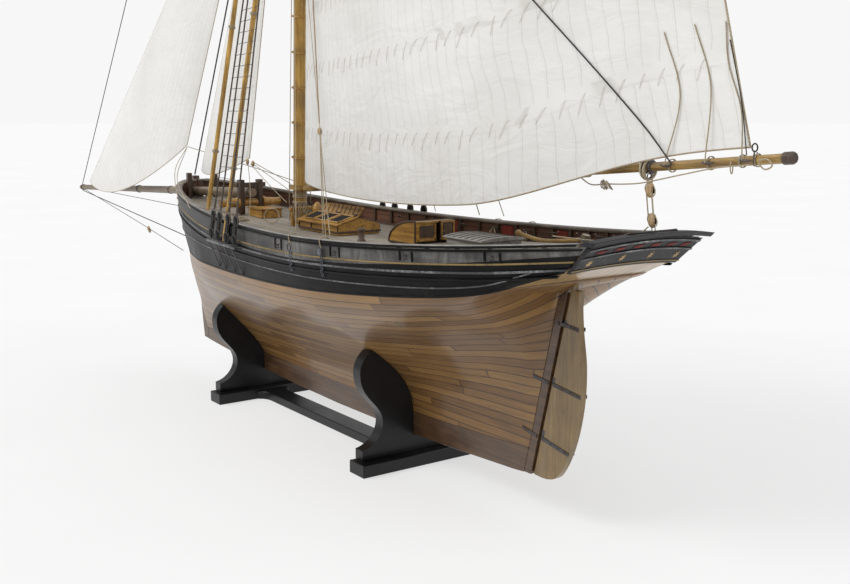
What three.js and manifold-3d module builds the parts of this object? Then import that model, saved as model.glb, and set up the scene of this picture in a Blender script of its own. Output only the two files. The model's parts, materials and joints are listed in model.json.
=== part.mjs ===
// A single-masted cutter, fully rigged on its cradle: hull, deck, spars, sails, steering and stand.
// Millimetres. X runs aft, Y to starboard, Z up from the floor under the stand.
import * as THREE from 'three';
import { mergeVertices } from 'three/addons/utils/BufferGeometryUtils.js';
import Module from 'manifold-3d';

const wasm = await Module();
wasm.setup();

// ---- driving dimensions -------------------------------------------------------------------
const GAP = 0.3;               // clearance between neighbouring pieces
const STEM_X = -237;           // where the rail meets the stem
const BEAM_X = 265;            // station of greatest breadth
const HALF_BEAM = 122.6;
const POST_X = 444;            // fore edge of the sternpost, level with the keel rabbet
const COUNTER_X = 477;         // where the counter leaves the sternpost
const STERN_X = 541;           // sill of the transom
const SILL_Z = 226;
const TRANSOM_RAKE = 1.1;      // how far the transom leans aft for each unit up
const POST_RAKE = 0.244;       // the same for the sternpost and the rudder's axis
const BACKBONE = 8.4;          // thickness of the keel, stem and sternpost
const SHEER_LOW_X = 190;       // lowest point of the rail
const SHEER_LOW_Z = 230;
const BULWARK = 3;             // thickness of the bulwarks
const CAP = 3;                 // thickness of the rail cap
const DECK_EDGE = 1.6;         // deck thickness at the bulwarks
const DECK_CAMBER = 6.5;
const BLOCK = { x: 25.4, y: 141, z: 12.4 };   // foot of each cradle
const CRADLES = { fore: -43, aft: 274 };
const CRADLE_BOARD = 12.7;
const MAST_X = 45;             // mast centre at MAST_Z
const MAST_Z = 238;
const MAST_RAKE = 0.038;
const MAST_FOOT_Z = 203;
const HOUNDS_Z = 830;
const MASTHEAD_Z = 925;
const TOPMAST = { foot: 836, top: 1179, radius: 4.2, offset: -15 };
const BOOM = { foreX: 60, foreZ: 257, aftX: 686.5, aftZ: 311.4, radius: 4.3 };
const GAFF = { foreX: 78, foreZ: 705, aftX: 492, aftZ: 934, radius: 3.6 };
const BOWSPRIT = { tipX: -686.5, tipZ: 219, heelX: -50, heelZ: 247.1, y: -10.8, radius: 5.7 };
const RUDDER = { radius: 3.2, thick: 6, clearance: 0.6, top: 246, bottom: 38 };
const SAIL = 0.9;              // thickness of sailcloth with its hems

// ---- paint ----------------------------------------------------------------------------------
function paint(color, roughness, metalness = 0) {
  return new THREE.MeshStandardMaterial({ color, roughness, metalness });
}
const BLACK = paint(0x17171a, 0.35);
const HULL_WOOD = paint(0x7a4f24, 0.3);
const DARK_WOOD = paint(0x4a2a18, 0.4);
const RUDDER_WOOD = paint(0x9a6a30, 0.35);
const SPAR_WOOD = paint(0xb98642, 0.4);
const DECK_WOOD = paint(0xa89a84, 0.7);
const RAIL_WOOD = paint(0xb8ad98, 0.5);
const HATCH_WOOD = paint(0xb07a30, 0.4);
const STAND_BLACK = paint(0x121214, 0.4);
const CANVAS = paint(0xe6e1d3, 0.9);
const IRON = paint(0x3c3d3c, 0.5, 0.6);
const ROPE = paint(0x1c1a19, 0.8);

// ---- helpers --------------------------------------------------------------------------------
const group = new THREE.Group();

const clamp = (value, low = 0, high = 1) => Math.min(high, Math.max(low, value));

// Straight-line interpolation through a short list of [station, value] pairs.
function through(x, pairs) {
  const last = pairs.length - 1;
  if (x <= pairs[0][0]) return pairs[0][1];
  if (x >= pairs[last][0]) return pairs[last][1];
  const i = pairs.findIndex(([station]) => station > x);
  const [x0, v0] = pairs[i - 1];
  const [x1, v1] = pairs[i];
  return v0 + (v1 - v0) * (x - x0) / (x1 - x0);
}

function volume(position, index) {
  const a = new THREE.Vector3();
  const b = new THREE.Vector3();
  const c = new THREE.Vector3();
  let sum = 0;
  for (let i = 0; i < index.length; i += 3) {
    a.fromBufferAttribute(position, index[i]);
    b.fromBufferAttribute(position, index[i + 1]);
    c.fromBufferAttribute(position, index[i + 2]);
    sum += a.dot(b.cross(c)) / 6;
  }
  return sum;
}

// A closed solid through a row of closed loops, each a list of [x, y, z] of one length.
function loft(loops) {
  const n = loops[0].length;
  const index = [];
  for (let s = 0; s + 1 < loops.length; s++) {
    for (let i = 0; i < n; i++) {
      const a = s * n + i;
      const b = s * n + (i + 1) % n;
      index.push(a, b, b + n, a, b + n, a + n);
    }
  }
  const capEnd = (s, flip) => {
    const flat = loops[s].map(([, y, z]) => new THREE.Vector2(y, z));
    const clockwise = THREE.ShapeUtils.isClockWise(flat);
    const order = clockwise ? flat.map((_, i) => n - 1 - i) : flat.map((_, i) => i);
    for (const face of THREE.ShapeUtils.triangulateShape(order.map((i) => flat[i]), [])) {
      const [a, b, c] = face.map((i) => s * n + order[i]);
      if (flip !== clockwise) index.push(a, c, b);
      else index.push(a, b, c);
    }
  };
  capEnd(0, true);
  capEnd(loops.length - 1, false);
  const geometry = new THREE.BufferGeometry();
  geometry.setAttribute('position', new THREE.Float32BufferAttribute(loops.flat(2), 3));
  if (volume(geometry.attributes.position, index) < 0) index.reverse();
  geometry.setIndex(index);
  return geometry;
}

function solid(geometry) {
  const bare = geometry.clone();
  for (const name of Object.keys(bare.attributes)) if (name !== 'position') bare.deleteAttribute(name);
  const merged = mergeVertices(bare, 1e-4);
  return new wasm.Manifold(new wasm.Mesh({
    numProp: 3,
    vertProperties: new Float32Array(merged.attributes.position.array),
    triVerts: new Uint32Array(merged.index.array),
  }));
}

function shell(manifold) {
  const mesh = manifold.getMesh();
  const geometry = new THREE.BufferGeometry();
  geometry.setAttribute('position', new THREE.Float32BufferAttribute(mesh.vertProperties, 3));
  geometry.setIndex(Array.from(mesh.triVerts));
  return geometry;
}

function cut(geometry, ...tools) {
  return shell(tools.reduce((body, tool) => body.subtract(solid(tool)), solid(geometry)));
}
const join = (first, ...rest) => shell(rest.reduce((body, piece) => body.add(solid(piece)), solid(first)));

function add(name, geometry, material) {
  const mesh = new THREE.Mesh(geometry, material);
  mesh.name = name;
  group.add(mesh);
}

const box = (sx, sy, sz, x, y, z) => new THREE.BoxGeometry(sx, sy, sz).translate(x, y, z);

// A round spar between two points; radii is a list of [share of the length, radius].
function spar(from, to, radii, sides = 16) {
  const start = new THREE.Vector3(...from);
  const along = new THREE.Vector3(...to).sub(start);
  const length = along.length();
  const profile = radii.map(([share, radius]) => new THREE.Vector2(radius, share * length));
  const closed = [new THREE.Vector2(0, 0), ...profile, new THREE.Vector2(0, length)];
  const geometry = new THREE.LatheGeometry(closed, sides);
  const turn = new THREE.Quaternion().setFromUnitVectors(new THREE.Vector3(0, 1, 0), along.normalize());
  return geometry.applyQuaternion(turn).translate(start.x, start.y, start.z);
}

const rod = (from, to, radius, sides = 12) => spar(from, to, [[0, radius], [1, radius]], sides);

// An outline in the X-Z plane, extruded across the ship and centred on y.
function board(points, thickness, y = 0) {
  const shape = new THREE.Shape(points.map(([px, pz]) => new THREE.Vector2(px, pz)));
  const geometry = new THREE.ExtrudeGeometry(shape, { depth: thickness, bevelEnabled: false });
  return geometry.translate(0, 0, -thickness / 2).rotateX(Math.PI / 2).translate(0, y, 0);
}

// An outline in the Y-Z plane, extruded along the ship from x.
function frame(points, thickness, x) {
  const shape = new THREE.Shape(points.map(([py, pz]) => new THREE.Vector2(py, pz)));
  const geometry = new THREE.ExtrudeGeometry(shape, { depth: thickness, bevelEnabled: false });
  const axes = new THREE.Matrix4().set(0, 0, 1, x, 1, 0, 0, 0, 0, 1, 0, 0, 0, 0, 0, 1);
  return geometry.applyMatrix4(axes);
}

// ---- lines of the hull ------------------------------------------------------------------------
const halfBreadth = (x) => {
  if (x >= BEAM_X) return HALF_BEAM - 88 * ((x - BEAM_X) / 358) ** 1.91;
  const ahead = clamp((BEAM_X - x) / (BEAM_X - STEM_X));
  return HALF_BEAM * (1 - ahead ** 1.52) ** 0.485;
};

const sheer = (x) => {
  if (x < SHEER_LOW_X) return SHEER_LOW_Z + 22.4 * ((SHEER_LOW_X - x) / 412) ** 2;
  return SHEER_LOW_Z + 31.9 * ((x - SHEER_LOW_X) / 475) ** 2;
};

const deckEdge = (x) => sheer(x) - 22 + 13 * clamp((x - 200) / 360) ** 1.5;

// Height of the deck's upper face at its middle line.
const deckTop = (x) => deckEdge(x) + GAP + DECK_EDGE + DECK_CAMBER * (halfBreadth(x) / HALF_BEAM) ** 2;

function paintLine(x) {
  return 167.4 + 15.5 * Math.exp((x - 274) / 264) + 16.5 * Math.max(0, (x - 401) / 146) ** 3;
}

// Height of the planking's lower edge on the middle line: stem, keel, sternpost, counter.
const profile = (x) => {
  if (x < -205) return 58 + 196 * (-205 - x) / 32;
  if (x < 200) return 52 + 6 * ((200 - x) / 405) ** 2;
  if (x < POST_X) return 52 + 8 * ((x - 200) / 244) ** 2;
  if (x < COUNTER_X) return 60 + (x - POST_X) / POST_RAKE;
  return 195.2 + (x - COUNTER_X) * 0.51;
};

// Half-breadth on the paint line, as a share of that at the rail.
const fullness = (x) => through(x, [[-223, 0], [-210, 0.4], [-180, 0.68], [-130, 0.85], [-38, 0.96],
  [274, 0.975], [400, 0.95], [COUNTER_X, 0.93], [STERN_X, 0.82]]);

const paintBreadth = (x) => BACKBONE / 2 + (halfBreadth(x) - BACKBONE / 2) * fullness(x);

// Half-breadth of the topsides at a height above the paint line.
function side(x, z) {
  const low = Math.max(paintLine(x), profile(x));
  const up = clamp((z - low) / (sheer(x) - low));
  const breadth = Math.max(halfBreadth(x), BACKBONE / 2);
  return paintBreadth(x) + (breadth - paintBreadth(x)) * (1 - (1 - up) ** 2);
}

// How much wider a wall of unit thickness is when measured straight across the ship.
function across(x) {
  const slope = (halfBreadth(x + 0.5) - halfBreadth(x - 0.5));
  return Math.sqrt(1 + Math.min(slope * slope, 16));
}

// Towards the stern the stations lean aft until the last lies in the plane of the transom.
const lean = (station) => TRANSOM_RAKE * clamp((station - 480) / (STERN_X - 480)) ** 1.5;
const leaned = (station, z) => station + lean(station) * (z - SILL_Z);

function stations(first, last) {
  const marks = [first];
  const fine = [-233, -229, -224, -218, -210, -199, -184, -164, -138, -104, -64];
  const coarse = Array.from({ length: 13 }, (_, i) => -20 + i * 36);
  const aft = [430, 444, 455, 466, 477, 484, 493, 504, 516, 529];
  for (const mark of [...fine, ...coarse, ...aft]) {
    if (mark > first + 1 && mark < last - 1) marks.push(mark);
  }
  return [...marks, last];
}

// Loop of a station that is alike to port and starboard, from its starboard half, bottom to top.
function bothSides(half, station) {
  const port = half.filter(([y]) => y > 0.01).reverse().map(([y, z]) => [-y, z]);
  return [...half, ...port].map(([y, z]) => [leaned(station, z), y, z]);
}

// ---- hull -------------------------------------------------------------------------------------
// Powers that shape the sections: round and full forward, hollow and lean towards the sternpost.
const BULGE = [[-221, 1], [-120, 1.3], [-38, 1.5], [274, 2], [370, 2.9], [POST_X, 5],
  [470, 4], [490, 1.4], [503, 1]];
const RISE = [[-221, 0.7], [-120, 0.6], [-38, 0.555], [274, 0.463], [370, 0.4], [POST_X, 0.3],
  [470, 0.35], [490, 0.7], [503, 1]];

// The planked body below the paint line; swell makes the slightly larger one that fits the cradles.
function underwaterBody(swell = 0) {
  const steps = 11;
  const loops = stations(-221.5, 503).map((station) => {
    const low = profile(station);
    const high = Math.max(paintLine(station), low + 0.4);
    const bulge = through(station, BULGE);
    const rise = through(station, RISE);
    const half = [];
    for (let i = 0; i <= steps; i++) {
      const angle = Math.PI / 2 * i / steps;
      const y = BACKBONE / 2 + (paintBreadth(station) - BACKBONE / 2) * Math.sin(angle) ** bulge;
      half.push([y + swell, low - swell + (high - low) * (1 - Math.cos(angle)) ** rise]);
    }
    return bothSides(half, station);
  });
  return loft(loops);
}

function topsides() {
  const loops = stations(-230, STERN_X).map((station) => {
    const centre = Math.max(paintLine(station), profile(station)) + GAP;
    const edge = station < COUNTER_X ? centre : paintLine(station) + GAP;
    const breadth = paintBreadth(station);
    const half = [];
    for (let i = 0; i <= 4; i++) {
      const share = i / 4;
      half.push([breadth * share, centre + (edge - centre) * share ** 2]);
    }
    const top = deckEdge(leaned(station, SILL_Z + 12));
    for (let i = 1; i <= 5; i++) {
      const z = edge + (top - edge) * i / 5;
      half.push([side(leaned(station, z), z), z]);
    }
    return bothSides(half, station);
  });
  return loft(loops);
}

function deck() {
  const loops = stations(-218, STERN_X).map((station) => {
    const x = leaned(station, SILL_Z + 12);
    const low = deckEdge(x) + GAP;
    const rim = leaned(station, low + DECK_EDGE);
    const edge = side(rim, low) - (BULWARK + 2 * GAP) * across(rim);
    const crown = DECK_CAMBER * (halfBreadth(x) / HALF_BEAM) ** 2;
    const half = [[0, low], [edge, low]];
    for (let i = 5; i >= 0; i--) {
      const share = i / 5;
      half.push([edge * share, low + DECK_EDGE + crown * (1 - share ** 2)]);
    }
    return bothSides(half, station);
  });
  return loft(loops);
}

// A strip that follows the side of the hull; shape gives its corners [inset, z] at a station.
function strip(first, last, shape, hand) {
  const loops = stations(first, last).map((station) => shape(station).map(([inset, z]) => {
    const x = leaned(station, z);
    const y = Math.max(side(x, z) - inset * across(x), GAP);
    return [x, hand * y, z];
  }));
  return loft(loops);
}

const bulwark = (hand) => strip(-235.5, STERN_X, (station) => {
  const x = leaned(station, SILL_Z + 12);
  const low = Math.max(deckEdge(x), profile(x)) + GAP;
  const high = Math.max(sheer(leaned(station, SILL_Z + 22)) - CAP - GAP, low + 0.5);
  const mid = (low + high) / 2;
  return [[0, low], [0, mid], [0, high], [BULWARK, high], [BULWARK, mid], [BULWARK, low]];
}, hand);

const railCap = (hand) => strip(-235.5, STERN_X - 4, (station) => {
  const high = sheer(leaned(station, SILL_Z + 22));
  return [[-1.4, high - CAP], [-1.4, high], [BULWARK + 3, high], [BULWARK + 3, high - CAP]];
}, hand);

const CHANNEL = { fore: 42, aft: 134, z: 205, width: 10, thick: 2.4 };
const channel = (hand) => strip(CHANNEL.fore, CHANNEL.aft, () => {
  const { z, width, thick } = CHANNEL;
  return [[-GAP, z], [-GAP - width, z], [-GAP - width, z + thick], [-GAP, z + thick]];
}, hand);

const postX = (z) => POST_X + 9 + (z - 60) * POST_RAKE;
const rudderAxisX = (z) => postX(z) + RUDDER.clearance + RUDDER.radius;

function keel() {
  const points = [];
  for (let x = -205; x <= 440; x += 43) points.push([x, profile(x) - GAP]);
  points.push([POST_X - GAP, profile(POST_X - 1) - GAP]);
  points.push([POST_X - 5.5 - GAP, keelBottom(POST_X)]);
  for (let x = 425; x >= -205; x -= 42) points.push([x, keelBottom(x)]);
  points.push([-205, keelBottom(-205)]);
  return board(points, BACKBONE);
}

function stem() {
  return board([
    [-218.3, 43.2], [-222, 64], [-226.2, 91], [-229, 120], [-240, 206], [-247.5, 258],
    [-238, 258], [-237.6, 254], [-221.3, 156], [-205.3, 58], [-205.3, 42.4],
  ], BACKBONE);
}

function sternpost() {
  return board([
    [POST_X - 5.3, 37.2], [postX(37.2) - 0.2, 37.2], [postX(199), 199], [COUNTER_X + 7, 197.4],
    [COUNTER_X + 0.3, 193.6], [POST_X + 0.3, 59.6],
  ], BACKBONE);
}

// ---- steering ---------------------------------------------------------------------------------
const rudderBore = (radius) => rod([rudderAxisX(190), 0, 190], [rudderAxisX(262), 0, 262], radius);

function rudder() {
  const axis = (z) => [rudderAxisX(z), z];
  const trailing = [[499.4, 201], [498.2, 188], [500, 167], [504, 141], [503.6, 113],
    [498.4, 84.6], [489.9, 61], [479, 43.5], [468, 38.2], [455.5, 37.4]];
  const edge = new THREE.SplineCurve(trailing.map(([x, z]) => new THREE.Vector2(x, z)));
  const outline = edge.getPoints(36).map((point) => [point.x, point.y]);
  const blade = board([axis(38), axis(201), ...outline.slice(0, -1)], RUDDER.thick);
  const { bottom, top, radius } = RUDDER;
  const stock = rod([rudderAxisX(bottom), 0, bottom], [rudderAxisX(top), 0, top], radius, 20);
  return join(blade, stock);
}

function tiller() {
  const head = rudderAxisX(243);
  const bend = [[head - RUDDER.radius - 3 * GAP, 242], [470, 238.2], [447, 237], [424, 240]];
  const path = new THREE.CatmullRomCurve3(bend.map(([x, z]) => new THREE.Vector3(x, 0, z)));
  const round = new THREE.Shape().absarc(0, 0, 1.6, 0, Math.PI * 2);
  const along = { steps: 14, curveSegments: 5, extrudePath: path, bevelEnabled: false };
  const arm = new THREE.ExtrudeGeometry(round, along);
  const knob = new THREE.SphereGeometry(3, 12, 8).translate(421.5, 0, 240.2);
  return join(arm, knob);
}

// ---- stand ------------------------------------------------------------------------------------
function cradle(x) {
  const outline = new THREE.Shape();
  outline.moveTo(-63.5, BLOCK.z + GAP);
  outline.lineTo(-63.5, 22.5);
  outline.bezierCurveTo(-52, 24, -40.2, 34, -40.2, 47);
  outline.bezierCurveTo(-40.2, 66, -65.5, 72, -65.5, 97);
  outline.bezierCurveTo(-65.5, 106, -61, 113, -52.5, 119.5);
  outline.lineTo(52.5, 119.5);
  outline.bezierCurveTo(61, 113, 65.5, 106, 65.5, 97);
  outline.bezierCurveTo(65.5, 72, 40.2, 66, 40.2, 47);
  outline.bezierCurveTo(40.2, 34, 52, 24, 63.5, 22.5);
  outline.lineTo(63.5, BLOCK.z + GAP);
  return frame(outline.getPoints(10).map((point) => [point.x, point.y]), CRADLE_BOARD, x - CRADLE_BOARD);
}

// The hull and keel, a little swollen, that the cradles are cut to receive.
const keelBottom = (x) => (x < 170 ? 28 + 15 * ((170 - x) / 388) ** 2 : 28 + 9 * ((x - 170) / 279) ** 2);
const keelSlot = (x) => {
  const low = keelBottom(x) - 0.8;
  return box(30, BACKBONE + 0.8, 70, x - 6, 0, low + 35);
};

function stretcher() {
  const shape = new THREE.Shape();
  const fore = CRADLES.fore + BLOCK.x / 2 + GAP;
  const aft = CRADLES.aft - BLOCK.x / 2 - GAP;
  shape.moveTo(fore, -22);
  shape.quadraticCurveTo(fore + 4, -12, fore + 18, -12);
  shape.lineTo(aft - 18, -12);
  shape.quadraticCurveTo(aft - 4, -12, aft, -22);
  shape.lineTo(aft, 22);
  shape.quadraticCurveTo(aft - 4, 12, aft - 18, 12);
  shape.lineTo(fore + 18, 12);
  shape.quadraticCurveTo(fore + 4, 12, fore, 22);
  shape.closePath();
  return new THREE.ExtrudeGeometry(shape, { depth: 9.5, bevelEnabled: false, curveSegments: 6 });
}

for (const [name, x] of Object.entries(CRADLES)) {
  add(`stand_block_${name}`, box(BLOCK.x, BLOCK.y, BLOCK.z, x, 0, BLOCK.z / 2), STAND_BLACK);
  add(`cradle_${name}`, cut(cradle(x), underwaterBody(0.45), keelSlot(x)), STAND_BLACK);
}
add('stretcher', stretcher(), STAND_BLACK);

const mastAt = (z) => MAST_X + (z - MAST_Z) * MAST_RAKE;
const mastBore = rod([mastAt(202), 0, 202], [mastAt(262), 0, 262], 8.1, 20);

add('keel', keel(), DARK_WOOD);
add('stem', stem(), DARK_WOOD);
add('sternpost', sternpost(), HULL_WOOD);
add('hull_bottom', cut(underwaterBody(), rudderBore(4.6)), HULL_WOOD);
add('hull_topsides', cut(topsides(), rudderBore(4.6), mastBore), BLACK);
add('deck', cut(deck(), rudderBore(4.6), mastBore), DECK_WOOD);
add('rudder', rudder(), RUDDER_WOOD);
add('tiller', tiller(), SPAR_WOOD);

const bowspritPoint = (x) => {
  const share = (x - BOWSPRIT.heelX) / (BOWSPRIT.tipX - BOWSPRIT.heelX);
  return [x, BOWSPRIT.y, BOWSPRIT.heelZ + (BOWSPRIT.tipZ - BOWSPRIT.heelZ) * share];
};
const bowspritHole = rod(bowspritPoint(-300), bowspritPoint(-190), BOWSPRIT.radius + 2 * GAP, 16);
for (const [name, hand] of [['port', -1], ['starboard', 1]]) {
  const wall = bulwark(hand);
  add(`bulwark_${name}`, hand < 0 ? cut(wall, bowspritHole) : wall, BLACK);
  add(`rail_${name}`, railCap(hand), RAIL_WOOD);
  add(`channel_${name}`, channel(hand), BLACK);
}

// ---- stern --------------------------------------------------------------------------------------
// A piece in the plane of the transom: an outline seen from astern, its thickness laid from start to end.
function raked(points, start, end) {
  const geometry = frame(points, end - start, start);
  const shift = STERN_X - TRANSOM_RAKE * SILL_Z;
  const shear = new THREE.Matrix4().set(1, 0, TRANSOM_RAKE, shift, 0, 1, 0, 0, 0, 0, 1, 0, 0, 0, 0, 1);
  return geometry.applyMatrix4(shear);
}

// Points of a shallow arch across the ship, from hand to hand.
function arch(half, edgeZ, centreZ, steps = 12) {
  const points = [];
  for (let i = 0; i <= steps; i++) {
    const share = 1 - 2 * i / steps;
    points.push([half * share, centreZ + (edgeZ - centreZ) * share ** 2]);
  }
  return points;
}

const TRANSOM = { top: [59, 246, 250.6], foot: [56, 224.6, 227.4], start: 0.5, end: 4.6 };
const TAFFRAIL = { top: [62.5, 250.6, 254.6], foot: [62.5, 247, 251.2], start: -4, end: 8 };
for (const [name, piece, material] of [['transom', TRANSOM, BLACK], ['taffrail', TAFFRAIL, RAIL_WOOD]]) {
  const outline = [...arch(...piece.top), ...arch(...piece.foot).reverse()];
  add(name, raked(outline, piece.start, piece.end), material);
}

// ---- masts and spars ------------------------------------------------------------------------------
const mastPoint = (z, ahead = 0, y = 0) => [mastAt(z) + ahead, y, z];

add('lower_mast', spar(mastPoint(MAST_FOOT_Z), mastPoint(MASTHEAD_Z),
  [[0, 7.6], [0.07, 7.6], [0.1, 7.2], [0.855, 6.4], [0.862, 5.4], [1, 5]], 20), SPAR_WOOD);
add('topmast', spar(mastPoint(TOPMAST.foot, TOPMAST.offset), mastPoint(TOPMAST.top, TOPMAST.offset),
  [[0, 4.2], [0.3, 4.2], [0.975, 2.4], [0.976, 3.8], [0.992, 3.8]], 16), SPAR_WOOD);

function trestletrees() {
  const z = HOUNDS_Z;
  const tree = (y) => box(46, 4, 6, mastAt(z) - 6, y, z);
  const crosstree = (ahead) => box(5, 78, 4, mastAt(z) + ahead, 0, z);
  const chock = box(8, 22, 4, mastAt(z) - TOPMAST.radius * 2, 0, z);
  const body = join(tree(10.5), tree(-10.5), crosstree(13), crosstree(-25), chock);
  return cut(body, rod(mastPoint(z - 20), mastPoint(z + 20), 6.8, 20));
}
add('trestletrees', trestletrees(), DARK_WOOD);

function mastCap() {
  const z = MASTHEAD_Z - 9;
  const body = box(34, 14, 7, mastAt(z) - 7, 0, z);
  return cut(body, rod(mastPoint(z - 20), mastPoint(z + 20), 5.4, 20),
    rod(mastPoint(z - 20, TOPMAST.offset), mastPoint(z + 20, TOPMAST.offset), 4.6, 20));
}
add('mast_cap', mastCap(), DARK_WOOD);

// Jaws that half embrace the mast from aft, with a tongue that reaches back to their spar.
function jaws(z, reach, thick) {
  const x = mastAt(z);
  const disc = (radius, deep) => rod(mastPoint(z - deep / 2), mastPoint(z + deep / 2), radius, 24);
  const tongue = box(reach - 8, 7, thick, x + 8 + (reach - 8) / 2, 0, z);
  return cut(join(disc(12.6, thick), tongue), disc(8.2, thick * 3), box(20, 40, thick * 3, x - 14.5, 0, z));
}

// The point of the boom's or the gaff's axis at x.
function sparPoint({ foreX, foreZ, aftX, aftZ }, x) {
  return [x, 0, foreZ + (x - foreX) * (aftZ - foreZ) / (aftX - foreX)];
}
const boomPoint = (x) => sparPoint(BOOM, x);
const gaffPoint = (x) => sparPoint(GAFF, x);

const BOOM_JAWS_Z = 258.4;
const GAFF_JAWS_Z = 702;
const BOOM_CAP = 8;
const boomStart = boomPoint(mastAt(BOOM_JAWS_Z) + 14);
const boomTaper = [[0, 3.2], [0.35, BOOM.radius], [0.75, BOOM.radius - 0.1], [1, 3.3]];
const boomSpar = spar(boomStart, boomPoint(BOOM.aftX - BOOM_CAP - GAP), boomTaper);
add('boom', join(boomSpar, jaws(BOOM_JAWS_Z, 34, 5)), SPAR_WOOD);
const capTaper = [[0, 4.2], [0.8, 4.2], [1, 3.4]];
add('boom_cap', spar(boomPoint(BOOM.aftX - BOOM_CAP), boomPoint(BOOM.aftX), capTaper), IRON);
const gaffStart = gaffPoint(mastAt(GAFF_JAWS_Z) + 14);
const gaffTaper = [[0, 3], [0.1, GAFF.radius], [0.5, GAFF.radius], [1, 2.2]];
add('gaff', join(spar(gaffStart, gaffPoint(GAFF.aftX), gaffTaper), jaws(GAFF_JAWS_Z, 22, 5)), SPAR_WOOD);

const bowspritTaper = [[0, 5.2], [0.04, BOWSPRIT.radius], [0.3, BOWSPRIT.radius],
  [0.985, 3.9], [0.986, 3.2], [1, 3.2]];
const bowspritEnds = [bowspritPoint(BOWSPRIT.heelX), bowspritPoint(BOWSPRIT.tipX)];
add('bowsprit', spar(...bowspritEnds, bowspritTaper), SPAR_WOOD);

// ---- fittings on deck -------------------------------------------------------------------------------
const onDeck = (x, lift = 0) => deckTop(x) + GAP + lift;

function block(name, x, y, z) {
  add(name, new THREE.SphereGeometry(1, 12, 8).scale(3.4, 4.4, 5.6).translate(x, y, z), HATCH_WOOD);
}

// Four walls on the deck, open above and below; their feet follow the sheer of the deck.
function coaming({ fore, aft, half, top, wall, y = 0 }) {
  const outline = [[fore, onDeck(fore)], [aft, onDeck(aft)], [aft, top], [fore, top]];
  const inside = box(aft - fore - 2 * wall, 2 * (half - wall), 60, (fore + aft) / 2, y, top);
  return cut(board(outline, 2 * half, y), inside);
}

// The bitts hold the heel of the bowsprit between them and carry the windlass below it.
const BITTS = { x: -57, spread: 12, wide: 8, deep: 6, top: 262 };
const WINDLASS = { z: 235, journal: 2.4, drum: 5.6, centre: 4.4, reach: 38 };
function bowspritBitts() {
  const { x, spread, wide, deep, top } = BITTS;
  const foot = onDeck(x - wide / 2);
  const post = (y) => box(wide, deep, top - foot, x, BOWSPRIT.y + y, (top + foot) / 2);
  const crosspiece = box(6, 2 * spread + 14, 5, x, BOWSPRIT.y, bowspritPoint(x)[2] + 9.2);
  const axle = (y) => [x, BOWSPRIT.y + y, WINDLASS.z];
  const bore = rod(axle(-30), axle(30), WINDLASS.journal + GAP, 16);
  return cut(join(post(-spread), post(spread), crosspiece), bore);
}
function windlass() {
  const { z, journal, drum, centre, reach } = WINDLASS;
  const inner = BITTS.spread - BITTS.deep / 2 - GAP;
  const outer = BITTS.spread + BITTS.deep / 2 + GAP;
  const flange = drum + 1.2;
  const half = [[centre, 0], [centre, inner], [journal, inner], [journal, outer], [flange, outer],
    [flange, outer + 3], [drum, outer + 3.2], [drum - 1.2, reach - 3], [drum, reach], [0, reach]];
  const line = [...half.map(([radius, y]) => [radius, -y]).reverse(), ...half.slice(1)];
  const points = line.map(([radius, y]) => new THREE.Vector2(radius, y));
  return new THREE.LatheGeometry(points, 12).translate(BITTS.x, BOWSPRIT.y, z);
}
add('bowsprit_bitts', bowspritBitts(), DARK_WOOD);
add('windlass', windlass(), HATCH_WOOD);

const KNIGHTHEAD = { x: -206, thick: 6, height: 32 };
for (const [name, y] of [['port', -24], ['starboard', 12]]) {
  const { x, thick, height } = KNIGHTHEAD;
  const foot = onDeck(x - thick / 2);
  add(`knighthead_${name}`, box(thick, thick, height, x, y, foot + height / 2), DARK_WOOD);
}

const FORE_HATCH = { fore: -46, aft: -12, half: 13, y: -6, top: 228.5, wall: 2.4 };
add('fore_hatch', coaming(FORE_HATCH), HATCH_WOOD);
function foreHatchLid() {
  const { fore, aft, half, y, top } = FORE_HATCH;
  return box(aft - fore + 2, 2 * half + 2, 2, (fore + aft) / 2, y, top + GAP + 1);
}
add('fore_hatch_lid', foreHatchLid(), HATCH_WOOD);

const FIFE_RAIL = { x: 62, half: 22, post: 4, top: 236 };
function fifeRail() {
  const { x, half, post, top } = FIFE_RAIL;
  const foot = onDeck(x - post / 2);
  const leg = (y) => box(post, post, top - foot, x, y, (top + foot) / 2);
  return join(box(5, 2 * half, 3, x, 0, top), leg(half - 4), leg(4 - half));
}
add('fife_rail', fifeRail(), HATCH_WOOD);

// A gabled skylight: two glazed lids, the starboard one narrow and standing open on the ridge.
const SKYLIGHT = { fore: 88, aft: 170, half: 25, wall: 2.5, top: 226, ridge: 7, lid: 1.8, flap: 11 };
const ROOF_SLOPE = SKYLIGHT.ridge / SKYLIGHT.half;
function skylight() {
  const { fore, aft, half, wall, top, ridge, lid, flap } = SKYLIGHT;
  const gable = [[-half, top - 1], [half, top - 1], [half, top], [0, top + ridge], [-half, top]];
  const ends = [frame(gable, wall, fore), frame(gable, wall, aft - wall)];
  const bar = box(aft - fore - 1, 2.6, 2.6, (fore + aft) / 2, 0, top + ridge - 2);
  const roof = (y) => top + ridge - y * ROOF_SLOPE;
  const low = half - 1;
  const plate = [[flap, roof(flap) - lid], [low, roof(low) - lid], [low, roof(low)], [flap, roof(flap)]];
  const slope = frame(plate, aft - fore - 1, fore + 0.5);
  return join(coaming(SKYLIGHT), ...ends, bar, slope);
}
add('skylight', skylight(), HATCH_WOOD);
const LID_GAP = 0.9;
function portLid() {
  const { fore, aft, half, top, ridge, lid } = SKYLIGHT;
  const height = (y) => top + GAP + ridge + 0.2 - y * ROOF_SLOPE;
  const outline = [[-LID_GAP, height(LID_GAP)], [-half - 2.5, height(half + 2.5)],
    [-half - 2.5, height(half + 2.5) + lid], [-LID_GAP, height(LID_GAP) + lid]];
  return frame(outline, aft - fore + 2, fore - 1);
}
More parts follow.
